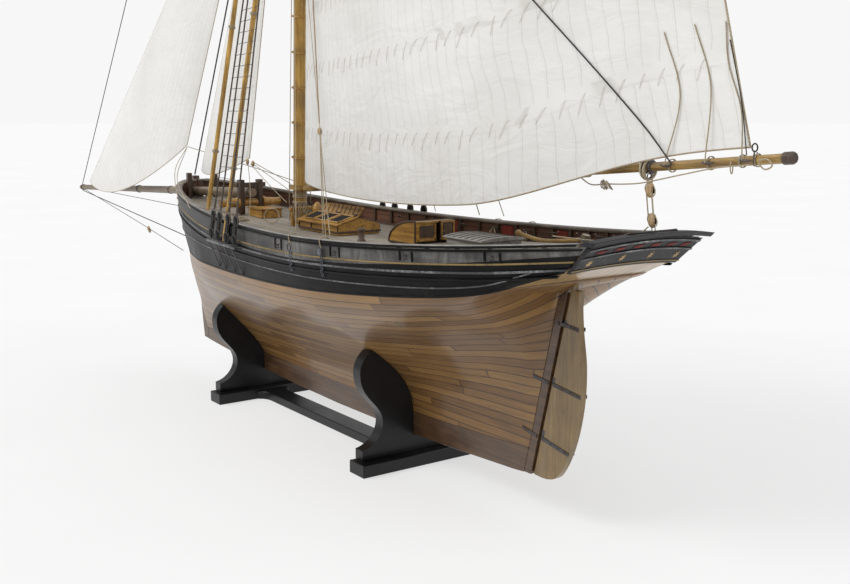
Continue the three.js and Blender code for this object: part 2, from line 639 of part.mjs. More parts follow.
function standingLid() {
  const { fore, aft, top, ridge, lid, flap } = SKYLIGHT;
  const outline = [[0, 0], [flap, 0], [flap, lid], [0, lid]];
  const opened = Math.PI / 3;
  const lid3d = frame(outline, aft - fore - 6, fore + 3).rotateX(opened);
  return lid3d.translate(0, LID_GAP + lid, top + ridge + GAP + 0.2);
}
add('skylight_lid_port', portLid(), HATCH_WOOD);
add('skylight_lid_starboard', standingLid(), HATCH_WOOD);

const HOOD = { fore: 258, aft: 302, half: 22, top: 241, wall: 2 };
function companion() {
  const { fore, aft, half, top, wall } = HOOD;
  const outline = (inset, reach) => {
    const points = [[fore + inset, onDeck(fore) - 5 * inset]];
    const height = top - inset - onDeck(fore) - 1;
    for (let i = 0; i <= 8; i++) {
      const angle = Math.PI / 2 * i / 8;
      const x = aft - (aft - fore - inset) * Math.cos(angle);
      points.push([x, onDeck(fore) + 1 + height * Math.sin(angle)]);
    }
    points.push([aft + reach, top - inset], [aft + reach, onDeck(aft) - 5 * inset]);
    return points;
  };
  return cut(board(outline(0, 0), half * 2), board(outline(wall, 5), 2 * (half - wall)));
}
add('companion', companion(), HATCH_WOOD);
const DOOR = { thick: 1.8, foot: onDeck(HOOD.aft + 24) + 0.6, port: 22.5, starboard: 17 };
function door(hand, width) {
  const height = HOOD.top - DOOR.foot;
  const x = HOOD.aft + GAP + DOOR.thick / 2;
  return box(DOOR.thick, width, height, x, hand * (HOOD.half - width / 2), DOOR.foot + height / 2);
}
add('companion_door_port', door(-1, DOOR.port), HATCH_WOOD);
add('companion_door_starboard', door(1, DOOR.starboard), DARK_WOOD);

const LIGHT = { fore: 350, aft: 400, half: 22, top: 231, wall: 2.5 };
add('cabin_light', coaming(LIGHT), RAIL_WOOD);
function cabinLightLid() {
  const { fore, aft, half, top } = LIGHT;
  const low = top + GAP;
  const lip = 2.5;
  const outline = [...arch(half + lip, low + 1.5, low + 3.8, 8), [-half - lip, low], [half + lip, low]];
  return frame(outline, aft - fore + 2 * lip, fore - lip);
}
add('cabin_light_lid', cabinLightLid(), RAIL_WOOD);

// ---- sails ------------------------------------------------------------------------------------------
// A thin curved sheet: place(u, v) is its middle face, u from luff to leech and v from foot to head.
function sail(place, columns, rows) {
  const points = [];
  for (const face of [-SAIL / 2, SAIL / 2]) {
    for (let j = 0; j <= rows; j++) {
      for (let i = 0; i <= columns; i++) {
        const [x, y, z] = place(i / columns, j / rows);
        points.push(x, y + face, z);
      }
    }
  }
  const at = (i, j) => j * (columns + 1) + i;
  const back = at(columns, rows) + 1;
  const index = [];
  for (let j = 0; j < rows; j++) {
    for (let i = 0; i < columns; i++) {
      const [a, b, c, d] = [at(i, j), at(i + 1, j), at(i + 1, j + 1), at(i, j + 1)];
      index.push(a, b, c, a, c, d, a + back, c + back, b + back, a + back, d + back, c + back);
    }
  }
  const edge = (a, b) => index.push(a, a + back, b + back, a, b + back, b);
  for (let i = 0; i < columns; i++) {
    edge(at(i, 0), at(i + 1, 0));
    edge(at(i + 1, rows), at(i, rows));
  }
  for (let j = 0; j < rows; j++) {
    edge(at(columns, j), at(columns, j + 1));
    edge(at(0, j + 1), at(0, j));
  }
  const geometry = new THREE.BufferGeometry();
  geometry.setAttribute('position', new THREE.Float32BufferAttribute(points, 3));
  if (volume(geometry.attributes.position, index) < 0) index.reverse();
  geometry.setIndex(index);
  return geometry;
}

const mix = (a, b, t) => a + (b - a) * t;
const hollow = (t) => Math.sin(Math.PI * clamp(t)) ** 0.8;

// The loose foot sags fast behind the tack, deepest a little abaft the middle.
function sag(u) {
  const wave = Math.sin(Math.PI * u ** 1.25);
  return u < 0.574 ? wave ** 0.6 : wave ** 3.2;
}

const BELLY = 42;
const FOOT_DROP = 31;
function mainsail() {
  const luffGap = 12;
  const tack = [mastAt(266) + luffGap, 266];
  const throat = [mastAt(692) + luffGap + 3, 692];
  const clew = [652, 317.2];
  const peak = [486, gaffPoint(486)[2] - 8];
  return sail((u, v) => {
    const foot = [mix(tack[0], clew[0], u), mix(tack[1], clew[1], u) - FOOT_DROP * sag(u)];
    const head = [mix(throat[0], peak[0], u), mix(throat[1], peak[1], u)];
    const across = mix(sag(u), Math.sin(Math.PI * u), clamp(2 * v));
    const full = across * (1 - v ** 4) * (1 + 0.25 * Math.sin(Math.PI * v));
    return [mix(foot[0], head[0], v), -BELLY * full, mix(foot[1], head[1], v)];
  }, 16, 14);
}

// A three-cornered sail set on a stay: tack, head and clew are [x, y, z].
function headsail({ tack, head, clew, belly, drop, width }) {
  return sail((u, v) => {
    const luff = tack.map((value, k) => mix(value, head[k], v));
    const leech = clew.map((value, k) => mix(value, head[k] + (k === 0 ? width : 0), v));
    const [x, y, z] = luff.map((value, k) => mix(value, leech[k], u));
    return [x, y - belly * hollow(u) * (1 - v) ** 0.7, z - drop * hollow(u) * (1 - v) ** 3];
  }, 10, 12);
}

const STAYSAIL = {
  tack: [-221, 0.5, 267], head: [35, 0.5, 757], clew: [-50, -14, 288],
  belly: 12, drop: 12, width: 13,
};
const JIB = {
  tack: [-640, BOWSPRIT.y, 231.5], head: [2, -3, 720], clew: [-223, -18, 299.5],
  belly: 18, drop: 36, width: 5,
};

add('mainsail', mainsail(), CANVAS);
add('staysail', headsail(STAYSAIL), CANVAS);
add('jib', headsail(JIB), CANVAS);

// ---- standing rigging ---------------------------------------------------------------------------------
const shroudTop = (hand, aft) => [mastAt(812) + 2 + aft, hand * 9.5, 812];
for (const [name, hand] of [['port', -1], ['starboard', 1]]) {
  for (const [i, x] of [50, 72, 100, 124].entries()) {
    const foot = [x, hand * (halfBreadth(x) + 6.5), CHANNEL.z + CHANNEL.thick + 2];
    add(`shroud_${name}_${i + 1}`, rod(foot, shroudTop(hand, i * 3), 0.8, 8), ROPE);
  }
}
add('forestay', rod([-243, 0, 259.5], [mastAt(812) - 10, 0, 812], 0.9, 8), ROPE);
const topmastHead = [mastAt(1110) + TOPMAST.offset - 5.5, 0, 1110];
add('topmast_stay', rod([BOWSPRIT.tipX + 6, BOWSPRIT.y, 224.5], topmastHead, 0.6, 8), ROPE);
add('bobstay', rod([BOWSPRIT.tipX + 8, BOWSPRIT.y, 213.6], [-238.5, -1, 170], 0.7, 8), ROPE);
block('sheet_block_boom', 566.4, 0, 284.5);
block('sheet_block_deck', 569.5, 0, 262.6);

export default group;
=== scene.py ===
import json
import math
import random

import bmesh
import bpy
from mathutils import Matrix, Vector

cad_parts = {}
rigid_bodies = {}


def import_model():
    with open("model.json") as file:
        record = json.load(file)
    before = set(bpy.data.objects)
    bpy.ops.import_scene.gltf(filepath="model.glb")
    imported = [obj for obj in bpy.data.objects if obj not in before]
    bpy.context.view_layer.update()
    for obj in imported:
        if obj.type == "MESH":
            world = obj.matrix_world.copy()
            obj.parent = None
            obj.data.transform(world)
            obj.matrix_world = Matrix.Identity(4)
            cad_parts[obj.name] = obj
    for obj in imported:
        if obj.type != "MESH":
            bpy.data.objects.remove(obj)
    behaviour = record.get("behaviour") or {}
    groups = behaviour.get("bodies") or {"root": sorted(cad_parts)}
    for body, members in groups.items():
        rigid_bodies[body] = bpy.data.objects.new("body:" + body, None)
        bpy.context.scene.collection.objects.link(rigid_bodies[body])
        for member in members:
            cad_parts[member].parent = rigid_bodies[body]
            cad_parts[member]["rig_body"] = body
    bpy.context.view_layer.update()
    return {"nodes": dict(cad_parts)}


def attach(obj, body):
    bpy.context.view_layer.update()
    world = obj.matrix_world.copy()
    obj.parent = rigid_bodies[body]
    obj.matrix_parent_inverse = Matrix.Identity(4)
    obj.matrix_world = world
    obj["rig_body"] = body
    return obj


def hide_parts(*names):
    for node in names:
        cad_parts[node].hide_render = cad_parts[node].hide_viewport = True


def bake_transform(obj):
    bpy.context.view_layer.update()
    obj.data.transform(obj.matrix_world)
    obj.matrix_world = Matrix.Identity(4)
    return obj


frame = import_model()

MM = 0.001
NODES = frame["nodes"]
PAIR = ((-1, "port"), (1, "starboard"))
KEEL_Z, KEEL_HALF = 52, 4.2              # lowest point of the keel's rabbet; half the keel's width
DECK_Z, RAIL_Z = 238, 248                # heights at which a station meets the deck and the rail
STERN_X, STERN_Z, RAKE = 541, 226, 1.1   # foot of the transom and how far it leans aft per rise
BOWSPRIT_Y = -10.8                       # the bowsprit lies to port of the stem


# ---- lines of the hull, in millimetres, the same ones as in the CAD ----------------------------
def clamp(value, low=0.0, high=1.0):
    return min(high, max(low, value))


def mix(a, b, t):
    return a + (b - a) * t


def lerp(p, q, t):
    return tuple(mix(a, b, t) for a, b in zip(p, q))


def through(x, pairs):
    if x <= pairs[0][0]:
        return pairs[0][1]
    for (x0, v0), (x1, v1) in zip(pairs, pairs[1:]):
        if x <= x1:
            return mix(v0, v1, (x - x0) / (x1 - x0))
    return pairs[-1][1]


def half_breadth(x):
    if x >= 265:
        return 122.6 - 88 * ((x - 265) / 358) ** 1.91
    return 122.6 * (1 - clamp((265 - x) / 502) ** 1.52) ** 0.485


def sheer(x):
    if x < 190:
        return 230 + 22.4 * ((190 - x) / 412) ** 2
    return 230 + 31.9 * ((x - 190) / 475) ** 2


def deck_edge(x):
    return sheer(x) - 22 + 13 * clamp((x - 200) / 360) ** 1.5


def deck_at(x, y=0.0):
    half = half_breadth(x)
    crown = 6.5 * (half / 122.6) ** 2
    return deck_edge(x) + 1.9 + crown * (1 - clamp(abs(y) / max(half - 4, 1)) ** 2)


def paint_line(x):
    return 167.4 + 15.5 * math.exp((x - 274) / 264) + 16.5 * max(0, (x - 401) / 146) ** 3


def profile(x):
    if x < -205:
        return 58 + 196 * (-205 - x) / 32
    if x < 200:
        return 52 + 6 * ((200 - x) / 405) ** 2
    if x < 444:
        return 52 + 8 * ((x - 200) / 244) ** 2
    if x < 477:
        return 60 + (x - 444) / 0.244
    return 195.2 + (x - 477) * 0.51


FULLNESS = [(-223, 0), (-210, 0.4), (-180, 0.68), (-130, 0.85), (-38, 0.96), (274, 0.975),
            (400, 0.95), (477, 0.93), (541, 0.82)]
BULGE = [(-221, 1), (-120, 1.3), (-38, 1.5), (274, 2), (370, 2.9), (444, 5), (470, 4),
         (490, 1.4), (503, 1)]
RISE = [(-221, 0.7), (-120, 0.6), (-38, 0.555), (274, 0.463), (370, 0.4), (444, 0.3),
        (470, 0.35), (490, 0.7), (503, 1)]


def paint_breadth(x):
    return KEEL_HALF + (half_breadth(x) - KEEL_HALF) * through(x, FULLNESS)


def side(x, z):
    low = max(paint_line(x), profile(x))
    up = clamp((z - low) / (sheer(x) - low))
    wide = max(half_breadth(x), KEEL_HALF)
    return mix(paint_breadth(x), wide, 1 - (1 - up) ** 2)


def across(x):
    slope = half_breadth(x + 0.5) - half_breadth(x - 0.5)
    return math.sqrt(1 + min(slope * slope, 16))


def leaned(station, z):
    """Where a station really is at a height: the last ones lean aft with the transom."""
    return station + RAKE * clamp((station - 480) / 61) ** 1.5 * (z - STERN_Z)


def skin(x, z, out=0.0):
    """A point on the topsides, out millimetres proud of them; x is the real position."""
    return side(x, z) + out * across(x)


def stations(first, last):
    marks = [-233, -231, -229, -226.5, -224, -221, -218, -214, -210, -205, -199, -192, -184,
             -174, -164, -151, -138, -121, -104, -84, -64, -42]
    marks += [-20 + 12 * i for i in range(37)] + [430, 437, 444, 449.5, 455, 460.5, 466, 471.5,
                                                  477, 484, 493, 504, 516, 529]
    return [first] + [m for m in marks if first + 0.8 < m < last - 0.8] + [last]


def mast_at(z):
    return 45 + (z - 238) * 0.038


def boom_z(x):
    return 257 + (x - 60) * 54.4 / 626.5


def gaff_z(x):
    return 705 + (x - 78) * 229 / 414


def bowsprit_z(x):
    return 247.1 + (219 - 247.1) * (x + 50) / -636.5


# ---- sails -------------------------------------------------------------------------------------
def sag(u):
    wave = math.sin(math.pi * u ** 1.25) if u < 1 else 0.0
    return max(wave, 0.0) ** (0.6 if u < 0.574 else 3.2)


def main_point(u, v):
    tack, throat = (mast_at(266) + 12, 266), (mast_at(692) + 15, 692)
    clew, peak = (652, 317.2), (486, gaff_z(486) - 8)
    foot = (mix(tack[0], clew[0], u), mix(tack[1], clew[1], u) - 31 * sag(u))
    head = lerp(throat, peak, u)
    full = mix(sag(u), math.sin(math.pi * u), clamp(2 * v))
    full *= (1 - v ** 4) * (1 + 0.25 * math.sin(math.pi * v))
    return (mix(foot[0], head[0], v), -42 * full, mix(foot[1], head[1], v))


def cloth_at(x, z):
    """How far to starboard the mainsail's cloth is at a place in the X-Z plane."""
    u, v = 0.5, 0.3
    for _ in range(24):
        (x0, _, z0), (x1, _, z1) = main_point(0, v), main_point(1, v)
        u = clamp((x - x0) / (x1 - x0), 0, 0.999)
        low, high = main_point(u, 0)[2], main_point(u, 1)[2]
        v = clamp((z - low) / (high - low))
    return main_point(u, v)[1]


def hollow(t):
    return max(math.sin(math.pi * clamp(t)), 0.0) ** 0.8


def headsail(tack, head, clew, belly, drop, width):
    def point(u, v):
        luff = lerp(tack, head, v)
        leech = lerp(clew, (head[0] + width, head[1], head[2]), v)
        x, y, z = lerp(luff, leech, u)
        return (x, y - belly * hollow(u) * (1 - v) ** 0.7, z - drop * hollow(u) * (1 - v) ** 3)
    return point


STAYSAIL = headsail((-221, 0.5, 267), (35, 0.5, 757), (-50, -14, 288), 12, 12, 13)
JIB = headsail((-640, -10.8, 231.5), (2, -3, 720), (-223, -18, 299.5), 18, 36, 5)


# ---- procedural materials ----------------------------------------------------------------------
class Paint:
    """A Principled material whose colour, roughness and bump come from small node graphs."""

    def __init__(self, name, roughness=0.5, **sockets):
        self.mat = bpy.data.materials.new(name)
        self.mat.use_nodes = True
        self.tree = self.mat.node_tree
        self.shader = self.tree.nodes["Principled BSDF"]
        self.shader.inputs["Roughness"].default_value = roughness
        for key, value in sockets.items():
            self.shader.inputs[key.replace("_", " ")].default_value = value
        self.place = self.node("TexCoord")

    def node(self, kind, sockets=(), **settings):
        made = self.tree.nodes.new("ShaderNode" + kind)
        for key, value in settings.items():
            setattr(made, key, value)
        for key, value in dict(sockets).items():
            if isinstance(value, bpy.types.NodeSocket):
                self.tree.links.new(value, made.inputs[key])
            else:
                made.inputs[key].default_value = value
        return made

    def at(self, stretch=(1, 1, 1)):
        spot = {"Vector": self.place.outputs["Object"], "Scale": stretch}
        return self.node("Mapping", spot).outputs[0]

    def noise(self, vector, scale, detail=4, rough=0.6, distortion=0.0):
        return self.node("TexNoise", {"Vector": vector, "Scale": scale, "Detail": detail,
                                      "Roughness": rough, "Distortion": distortion}).outputs[0]

    def sum(self, operation, a, b=0.0, c=0.0):
        return self.node("Math", {0: a, 1: b, 2: c}, operation=operation).outputs[0]

    def ramp(self, factor, stops):
        made = self.node("ValToRGB", {"Fac": factor})
        points = made.color_ramp.elements
        while len(points) < len(stops):
            points.new(0.5)
        for point, (place, colour) in zip(points, stops):
            point.position = place
            point.color = (*(colour if isinstance(colour, tuple) else (colour,) * 3), 1)
        return made.outputs[0]

    def blend(self, factor, a, b, kind="MIX"):
        made = self.node("Mix", {"Factor": factor}, data_type="RGBA", blend_type=kind)
        for socket, value in ((made.inputs[6], a), (made.inputs[7], b)):
            if isinstance(value, bpy.types.NodeSocket):
                self.tree.links.new(value, socket)
            else:
                socket.default_value = (*value, 1)
        return made.outputs[2]

    def uv(self):
        apart = self.node("SeparateXYZ", {0: self.place.outputs["UV"]})
        return apart.outputs[0], apart.outputs[1]

    def random(self, *values):
        vector = self.node("CombineXYZ", dict(enumerate(values))).outputs[0]
        return self.node("TexWhiteNoise", {"Vector": vector}, noise_dimensions="3D").outputs[0]

    def line(self, value, half, soft):
        """1 near whole numbers of value and 0 between them."""
        near = self.sum("PINGPONG", value, 0.5)
        made = self.node("MapRange", {0: near, 1: half, 2: half + soft, 3: 1.0, 4: 0.0})
        return made.outputs[0]

    def done(self, colour, rough=None, height=None, strength=0.3, depth=0.0004):
        link = self.tree.links.new
        link(colour, self.shader.inputs["Base Color"])
        if rough is not None:
            link(rough, self.shader.inputs["Roughness"])
        if height is not None:
            made = self.node("Bump", {"Height": height, "Strength": strength, "Distance": depth})
            link(made.outputs[0], self.shader.inputs["Normal"])
        return self.mat


def spread(paint, value, low, high):
    return paint.node("MapRange", {0: value, 3: low, 4: high}).outputs[0]


def wood(name, dark, mid, light, axis, roughness, coat=0.0, grime=0.35, fine=1.0):
    """Grain that runs along one axis, with softer blotches, pores and rubbed highlights."""
    p = Paint(name, roughness, Coat_Weight=coat, Coat_Roughness=0.18)
    stretch = [260 * fine] * 3
    stretch[axis] = 14 * fine
    grain = p.noise(p.at(tuple(stretch)), 1.0, 5, 0.65, 0.6)
    blotch = p.noise(p.at(), 38, 4, 0.55)
    pores = p.noise(p.at(tuple(s * 3.4 for s in stretch)), 1.0, 2, 0.5)
    colour = p.ramp(grain, [(0.3, dark), (0.5, mid), (0.72, light)])
    shade = p.ramp(blotch, [(0.32, 1 - grime), (0.62, 1.0)])
    colour = p.blend(0.85, colour, shade, "MULTIPLY")
    colour = p.blend(p.ramp(pores, [(0.34, 0.55), (0.42, 0.0)]), colour, dark)
    rough = spread(p, blotch, roughness - 0.12, roughness + 0.16)
    return p.done(colour, rough, p.sum("ADD", grain, pores), 0.25, 0.0003)


def planked(name, tones, seam, roughness, coat, seam_half, butt=0.19):
    """Planks from the UV map: u in metres along the plank, v counts the planks."""
    p = Paint(name, roughness, Coat_Weight=coat, Coat_Roughness=0.12)
    u, v = p.uv()
    row = p.sum("FLOOR", v)
    shift = p.random(row, 3.7, 1.3)
    place = p.sum("ADD", p.sum("DIVIDE", u, butt), p.sum("MULTIPLY", shift, 5.0))
    cell = p.sum("FLOOR", place)
    tone = p.random(row, cell, 9.1)
    along = p.node("CombineXYZ", {0: p.sum("MULTIPLY", u, 16), 1: p.sum("MULTIPLY", v, 3.1),
                                  2: p.sum("MULTIPLY", tone, 40)}).outputs[0]
    grain = p.noise(along, 1.0, 6, 0.68, 0.8)
    fine = p.node("CombineXYZ", {0: p.sum("MULTIPLY", u, 60), 1: p.sum("MULTIPLY", v, 19),
                                 2: tone}).outputs[0]
    streak = p.noise(fine, 1.0, 3, 0.6)
    patch = p.noise(p.at(), 9, 4, 0.6)
    value = p.sum("ADD", p.sum("MULTIPLY", tone, 0.3), p.sum("MULTIPLY", grain, 0.7))
    colour = p.ramp(value, tones)
    colour = p.blend(0.8, colour, p.ramp(streak, [(0.3, 0.72), (0.6, 1.0)]), "MULTIPLY")
    colour = p.blend(0.5, colour, p.ramp(patch, [(0.34, 0.62), (0.62, 1.08)]), "MULTIPLY")
    seams = p.line(v, seam_half, 0.03)
    ends = p.line(place, 0.0022, 0.002)
    joint = p.sum("MAXIMUM", seams, p.sum("MULTIPLY", ends, 0.8))
    broken = p.sum("MULTIPLY", joint, spread(p, p.noise(p.at(), 60, 2), 0.35, 1.25))
    colour = p.blend(broken, colour, seam)
    rough = spread(p, p.sum("ADD", patch, p.sum("MULTIPLY", grain, 0.3)),
                   roughness - 0.1, roughness + 0.2)
    height = p.sum("SUBTRACT", p.sum("MULTIPLY", grain, 0.12), joint)
    return p.done(colour, rough, height, 0.35, 0.0006)


def painted(name, base, worn, roughness, amount, scale=70, streak=(1, 1, 1), coat=0.08, shine=0.32):
    """Old oil paint: dusty patches, streaks, pits and rubbed spots."""
    p = Paint(name, roughness, Coat_Weight=coat, Coat_Roughness=0.22, Specular_IOR_Level=shine)
    patch = p.noise(p.at(), scale * 0.35, 5, 0.65)
    fleck = p.noise(p.at(streak), scale * 4, 3, 0.6)
    mask = p.sum("MULTIPLY", p.ramp(patch, [(0.44, 0.0), (0.7, 1.0)]),
                 p.ramp(fleck, [(0.4, 0.1), (0.72, 1.0)]))
    colour = p.blend(p.sum("MULTIPLY", mask, amount), base, worn)
    rough = spread(p, patch, roughness - 0.08, roughness + 0.25)
    return p.done(colour, rough, p.sum("ADD", fleck, patch), 0.22, 0.0004)


def streaked(name):
    """Bulwark plank whose black paint has weathered to silver in upright streaks; the silver is faint
    forward and full aft, and that rise towards the stern is a painted sheen.
    """
    p = Paint(name, 0.42, Coat_Weight=0.02, Specular_IOR_Level=0.25)
    streak = p.noise(p.at((150, 150, 34)), 1.0, 6, 0.62, 0.8)
    patch = p.noise(p.at((9, 9, 40)), 1.0, 5, 0.6)
    forward = p.node("SeparateXYZ", {0: p.place.outputs["Object"]}).outputs[0]
    # painted sheen: the silver streaks are held faint forward and grow to full strength aft
    aft = p.node("MapRange", {0: forward, 1: 0.02, 2: 0.24, 3: 0.15, 4: 1.0}).outputs[0]
    worn = p.sum("MULTIPLY", p.ramp(streak, [(0.34, 0.3), (0.7, 1.0)]),
                 p.ramp(patch, [(0.36, 0.12), (0.62, 1.0)]))
    colour = p.blend(p.sum("MULTIPLY", worn, aft), (0.01, 0.01, 0.0105), (0.2, 0.19, 0.175))
    return p.done(colour, spread(p, streak, 0.3, 0.6), streak, 0.3, 0.0004)


def rope(name, dark, light):
    """Laid rope: u is metres along it and v goes once round, so the strands spiral; the grooves between
    strands are darkened, which is painted shade.
    """
    lay, roughness = 420, 0.8
    p = Paint(name, roughness, Sheen_Weight=0.2)
    u, v = p.uv()
    strand = p.line(p.sum("ADD", p.sum("MULTIPLY", u, lay), p.sum("MULTIPLY", v, 2.0)), 0.05, 0.4)
    fuzz = p.noise(p.at(), 900, 3, 0.6)
    colour = p.ramp(fuzz, [(0.3, dark), (0.7, light)])
    # painted shade: the grooves between the strands are darkened
    colour = p.blend(p.sum("MULTIPLY", strand, 0.75), colour, dark)
    return p.done(colour, spread(p, fuzz, roughness - 0.1, roughness + 0.1), strand, -0.5, 0.0003)


def sailcloth(name):
    """Off-white cotton: a fine weave, stitched seams from the UV map, creases and foxing."""
    p = Paint(name, 0.88, Sheen_Weight=0.15)
    u, v = p.uv()
    wander = p.noise(p.at((6, 6, 10)), 1.0, 3, 0.5)
    bent = p.sum("ADD", u, p.sum("MULTIPLY", wander, 2.6))
    faint = spread(p, p.noise(p.at(), 26, 3), 0.25, 1.1)
    seam = p.sum("MULTIPLY", p.line(bent, 0.014, 0.03), faint)
    hem = p.line(p.sum("ADD", bent, 0.13), 0.004, 0.02)
    warp, weft = (p.node("TexWave", {"Vector": p.at(), "Scale": 420.0, "Distortion": 1.0},
                         bands_direction=way).outputs[1] for way in "XZ")
    stain = p.noise(p.at(), 7, 5, 0.6)
    crease = p.noise(p.at((18, 18, 40)), 1.0, 4, 0.55, 1.2)
    colour = p.ramp(stain, [(0.3, (0.68, 0.665, 0.625)), (0.62, (0.78, 0.772, 0.745))])
    colour = p.blend(p.sum("MULTIPLY", seam, 0.42), colour, (0.4, 0.37, 0.31))
    colour = p.blend(p.sum("MULTIPLY", hem, 0.16), colour, (0.46, 0.43, 0.37))
    threads = p.sum("MULTIPLY", p.sum("ADD", warp, weft), 0.06)
    forward, _, up = p.node("SeparateXYZ", {0: p.place.outputs["Object"]}).outputs
    slant = p.node("CombineXYZ", {0: p.sum("MULTIPLY", p.sum("ADD", forward, up), 30.0),
                                  1: p.sum("MULTIPLY", p.sum("SUBTRACT", forward, up), 4.0)}).outputs[0]
    near_luff = p.node("MapRange", {0: forward, 1: 0.1, 2: 0.5, 3: 1.0, 4: 0.25}).outputs[0]
    fold = p.sum("MULTIPLY", p.sum("MULTIPLY", p.noise(slant, 1.0, 3, 0.5), near_luff), 11.0)
    height = p.sum("ADD", p.sum("ADD", p.sum("MULTIPLY", seam, 0.6), threads),
                   p.sum("ADD", p.sum("MULTIPLY", crease, 6.0), fold))
    return p.done(colour, spread(p, stain, 0.8, 0.95), height, 0.35, 0.0008)


def metal(name, base, rust, roughness=0.45, metallic=0.7):
    p = Paint(name, roughness, Metallic=metallic)
    patch = p.noise(p.at(), 160, 4, 0.6)
    pit = p.noise(p.at(), 900, 3, 0.5)
    colour = p.blend(p.ramp(patch, [(0.45, 0.0), (0.7, 0.8)]), base, rust)
    return p.done(colour, spread(p, patch, roughness - 0.1, roughness + 0.3), pit, 0.3, 0.0002)


# tones along the ramp, colour of the seams, roughness, coat, half a seam, length of a plank
PLANKED = {
    "hull_planks": ([(0.25, (0.11, 0.05, 0.013)), (0.5, (0.215, 0.108, 0.03)),
                     (0.78, (0.33, 0.185, 0.056))], (0.03, 0.014, 0.007), 0.3, 0.22, 0.045, 0.26),
    # the counter's planks: varnished gold, made paler than the hull's planks as a painted highlight
    "counter_planks": ([(0.2, (0.24, 0.13, 0.045)), (0.5, (0.38, 0.24, 0.095)),
                        (0.8, (0.5, 0.36, 0.17))], (0.06, 0.025, 0.01), 0.3, 0.5, 0.05),
    "deck_planks": ([(0.2, (0.2, 0.165, 0.125)), (0.5, (0.31, 0.27, 0.215)),
                     (0.8, (0.42, 0.375, 0.31))], (0.07, 0.055, 0.04), 0.62, 0.0, 0.07, 0.14),
    "inner_planks": ([(0.2, (0.075, 0.026, 0.014)), (0.5, (0.15, 0.058, 0.03)),
                      (0.8, (0.22, 0.1, 0.05))], (0.02, 0.01, 0.006), 0.45, 0.15, 0.05),
}
# colour, worn colour, roughness, amount of wear, scale, stretch of the flecks, coat, shine
EVEN = (1, 1, 1)
PAINTED = {
    "black_paint": ((0.003,) * 3, (0.04, 0.038, 0.034), 0.34, 0.5, 70, (0.12, 0.12, 1), 0.0, 0.12),
    "moulding_grey": ((0.05, 0.05, 0.052), (0.4, 0.4, 0.4), 0.4, 1.3, 110),
    "gold_line": ((0.24, 0.165, 0.06), (0.07, 0.05, 0.025), 0.5, 1.3, 130),
    "red_panel": ((0.26, 0.035, 0.024), (0.12, 0.022, 0.018), 0.5, 0.8),
    "dark_panel": ((0.016, 0.016, 0.018), (0.085, 0.085, 0.088), 0.4, 0.8, 70, EVEN, 0.02, 0.2),
    "white_dot": ((0.72, 0.7, 0.64), (0.4, 0.37, 0.3), 0.5, 0.6),
    "stand_black": ((0.0035, 0.0035, 0.004), (0.02, 0.02, 0.022), 0.28, 0.5, 60, EVEN, 0.12),
    "glass": ((0.02, 0.024, 0.026), (0.08, 0.085, 0.085), 0.1, 0.5, 70, EVEN, 0.8),
}
# dark, middle and light colour, axis of the grain, roughness, coat, grime, fineness
WOODS = {
    "rail_wood": ((0.085, 0.065, 0.048), (0.2, 0.17, 0.135), (0.34, 0.3, 0.25), 0, 0.45),
    "spar_x": ((0.17, 0.09, 0.02), (0.39, 0.235, 0.06), (0.55, 0.37, 0.115), 0, 0.36, 0.2, 0.5),
    "spar_z": ((0.24, 0.125, 0.018), (0.48, 0.275, 0.05), (0.64, 0.4, 0.09), 2, 0.34, 0.2, 0.5),
    "bowsprit_wood": ((0.1, 0.07, 0.045), (0.22, 0.165, 0.11), (0.34, 0.275, 0.2), 0, 0.5, 0.1),
    "hatch_wood": ((0.17, 0.08, 0.013), (0.42, 0.215, 0.036), (0.58, 0.34, 0.075), 0, 0.4, 0.2),
    "rudder_wood": ((0.13, 0.075, 0.023), (0.2, 0.125, 0.04), (0.27, 0.175, 0.06), 2, 0.3, 0.5, 0.3),
    "keel_wood": ((0.045, 0.02, 0.009), (0.085, 0.042, 0.017), (0.14, 0.075, 0.03), 0, 0.34, 0.4),
    "dark_wood": ((0.03, 0.018, 0.012), (0.075, 0.042, 0.024), (0.13, 0.08, 0.045), 2, 0.42, 0.2),
    "block_wood": ((0.3, 0.18, 0.08), (0.5, 0.34, 0.17), (0.62, 0.46, 0.26), 2, 0.5, 0.1, 0.35, 2.0),
    "pale_grey": ((0.15, 0.14, 0.125), (0.31, 0.295, 0.27), (0.44, 0.425, 0.39), 0, 0.55),
}
ROPES = {
    "hemp": ((0.26, 0.2, 0.12), (0.55, 0.47, 0.33)),
    "thread": ((0.5, 0.46, 0.37), (0.7, 0.66, 0.58)),
    "shroud_rope": ((0.2, 0.12, 0.05), (0.5, 0.34, 0.16)),
    "tarred": ((0.012, 0.011, 0.01), (0.06, 0.052, 0.045)),
    "shroud_tarred": ((0.03, 0.022, 0.016), (0.13, 0.1, 0.075)),
}
METALS = {
    "iron": ((0.09, 0.09, 0.095), (0.1, 0.055, 0.035)),
    "steel_blue": ((0.13, 0.14, 0.165), (0.05, 0.045, 0.04), 0.45, 0.5),
}
M = {"weathered_and_sheen_side": streaked("weathered_and_sheen_side"), "canvas": sailcloth("canvas")}
for mixed, table in ((planked, PLANKED), (painted, PAINTED), (wood, WOODS), (rope, ROPES),
                     (metal, METALS)):
    for name, told in table.items():
        M[name] = mixed(name, *told)


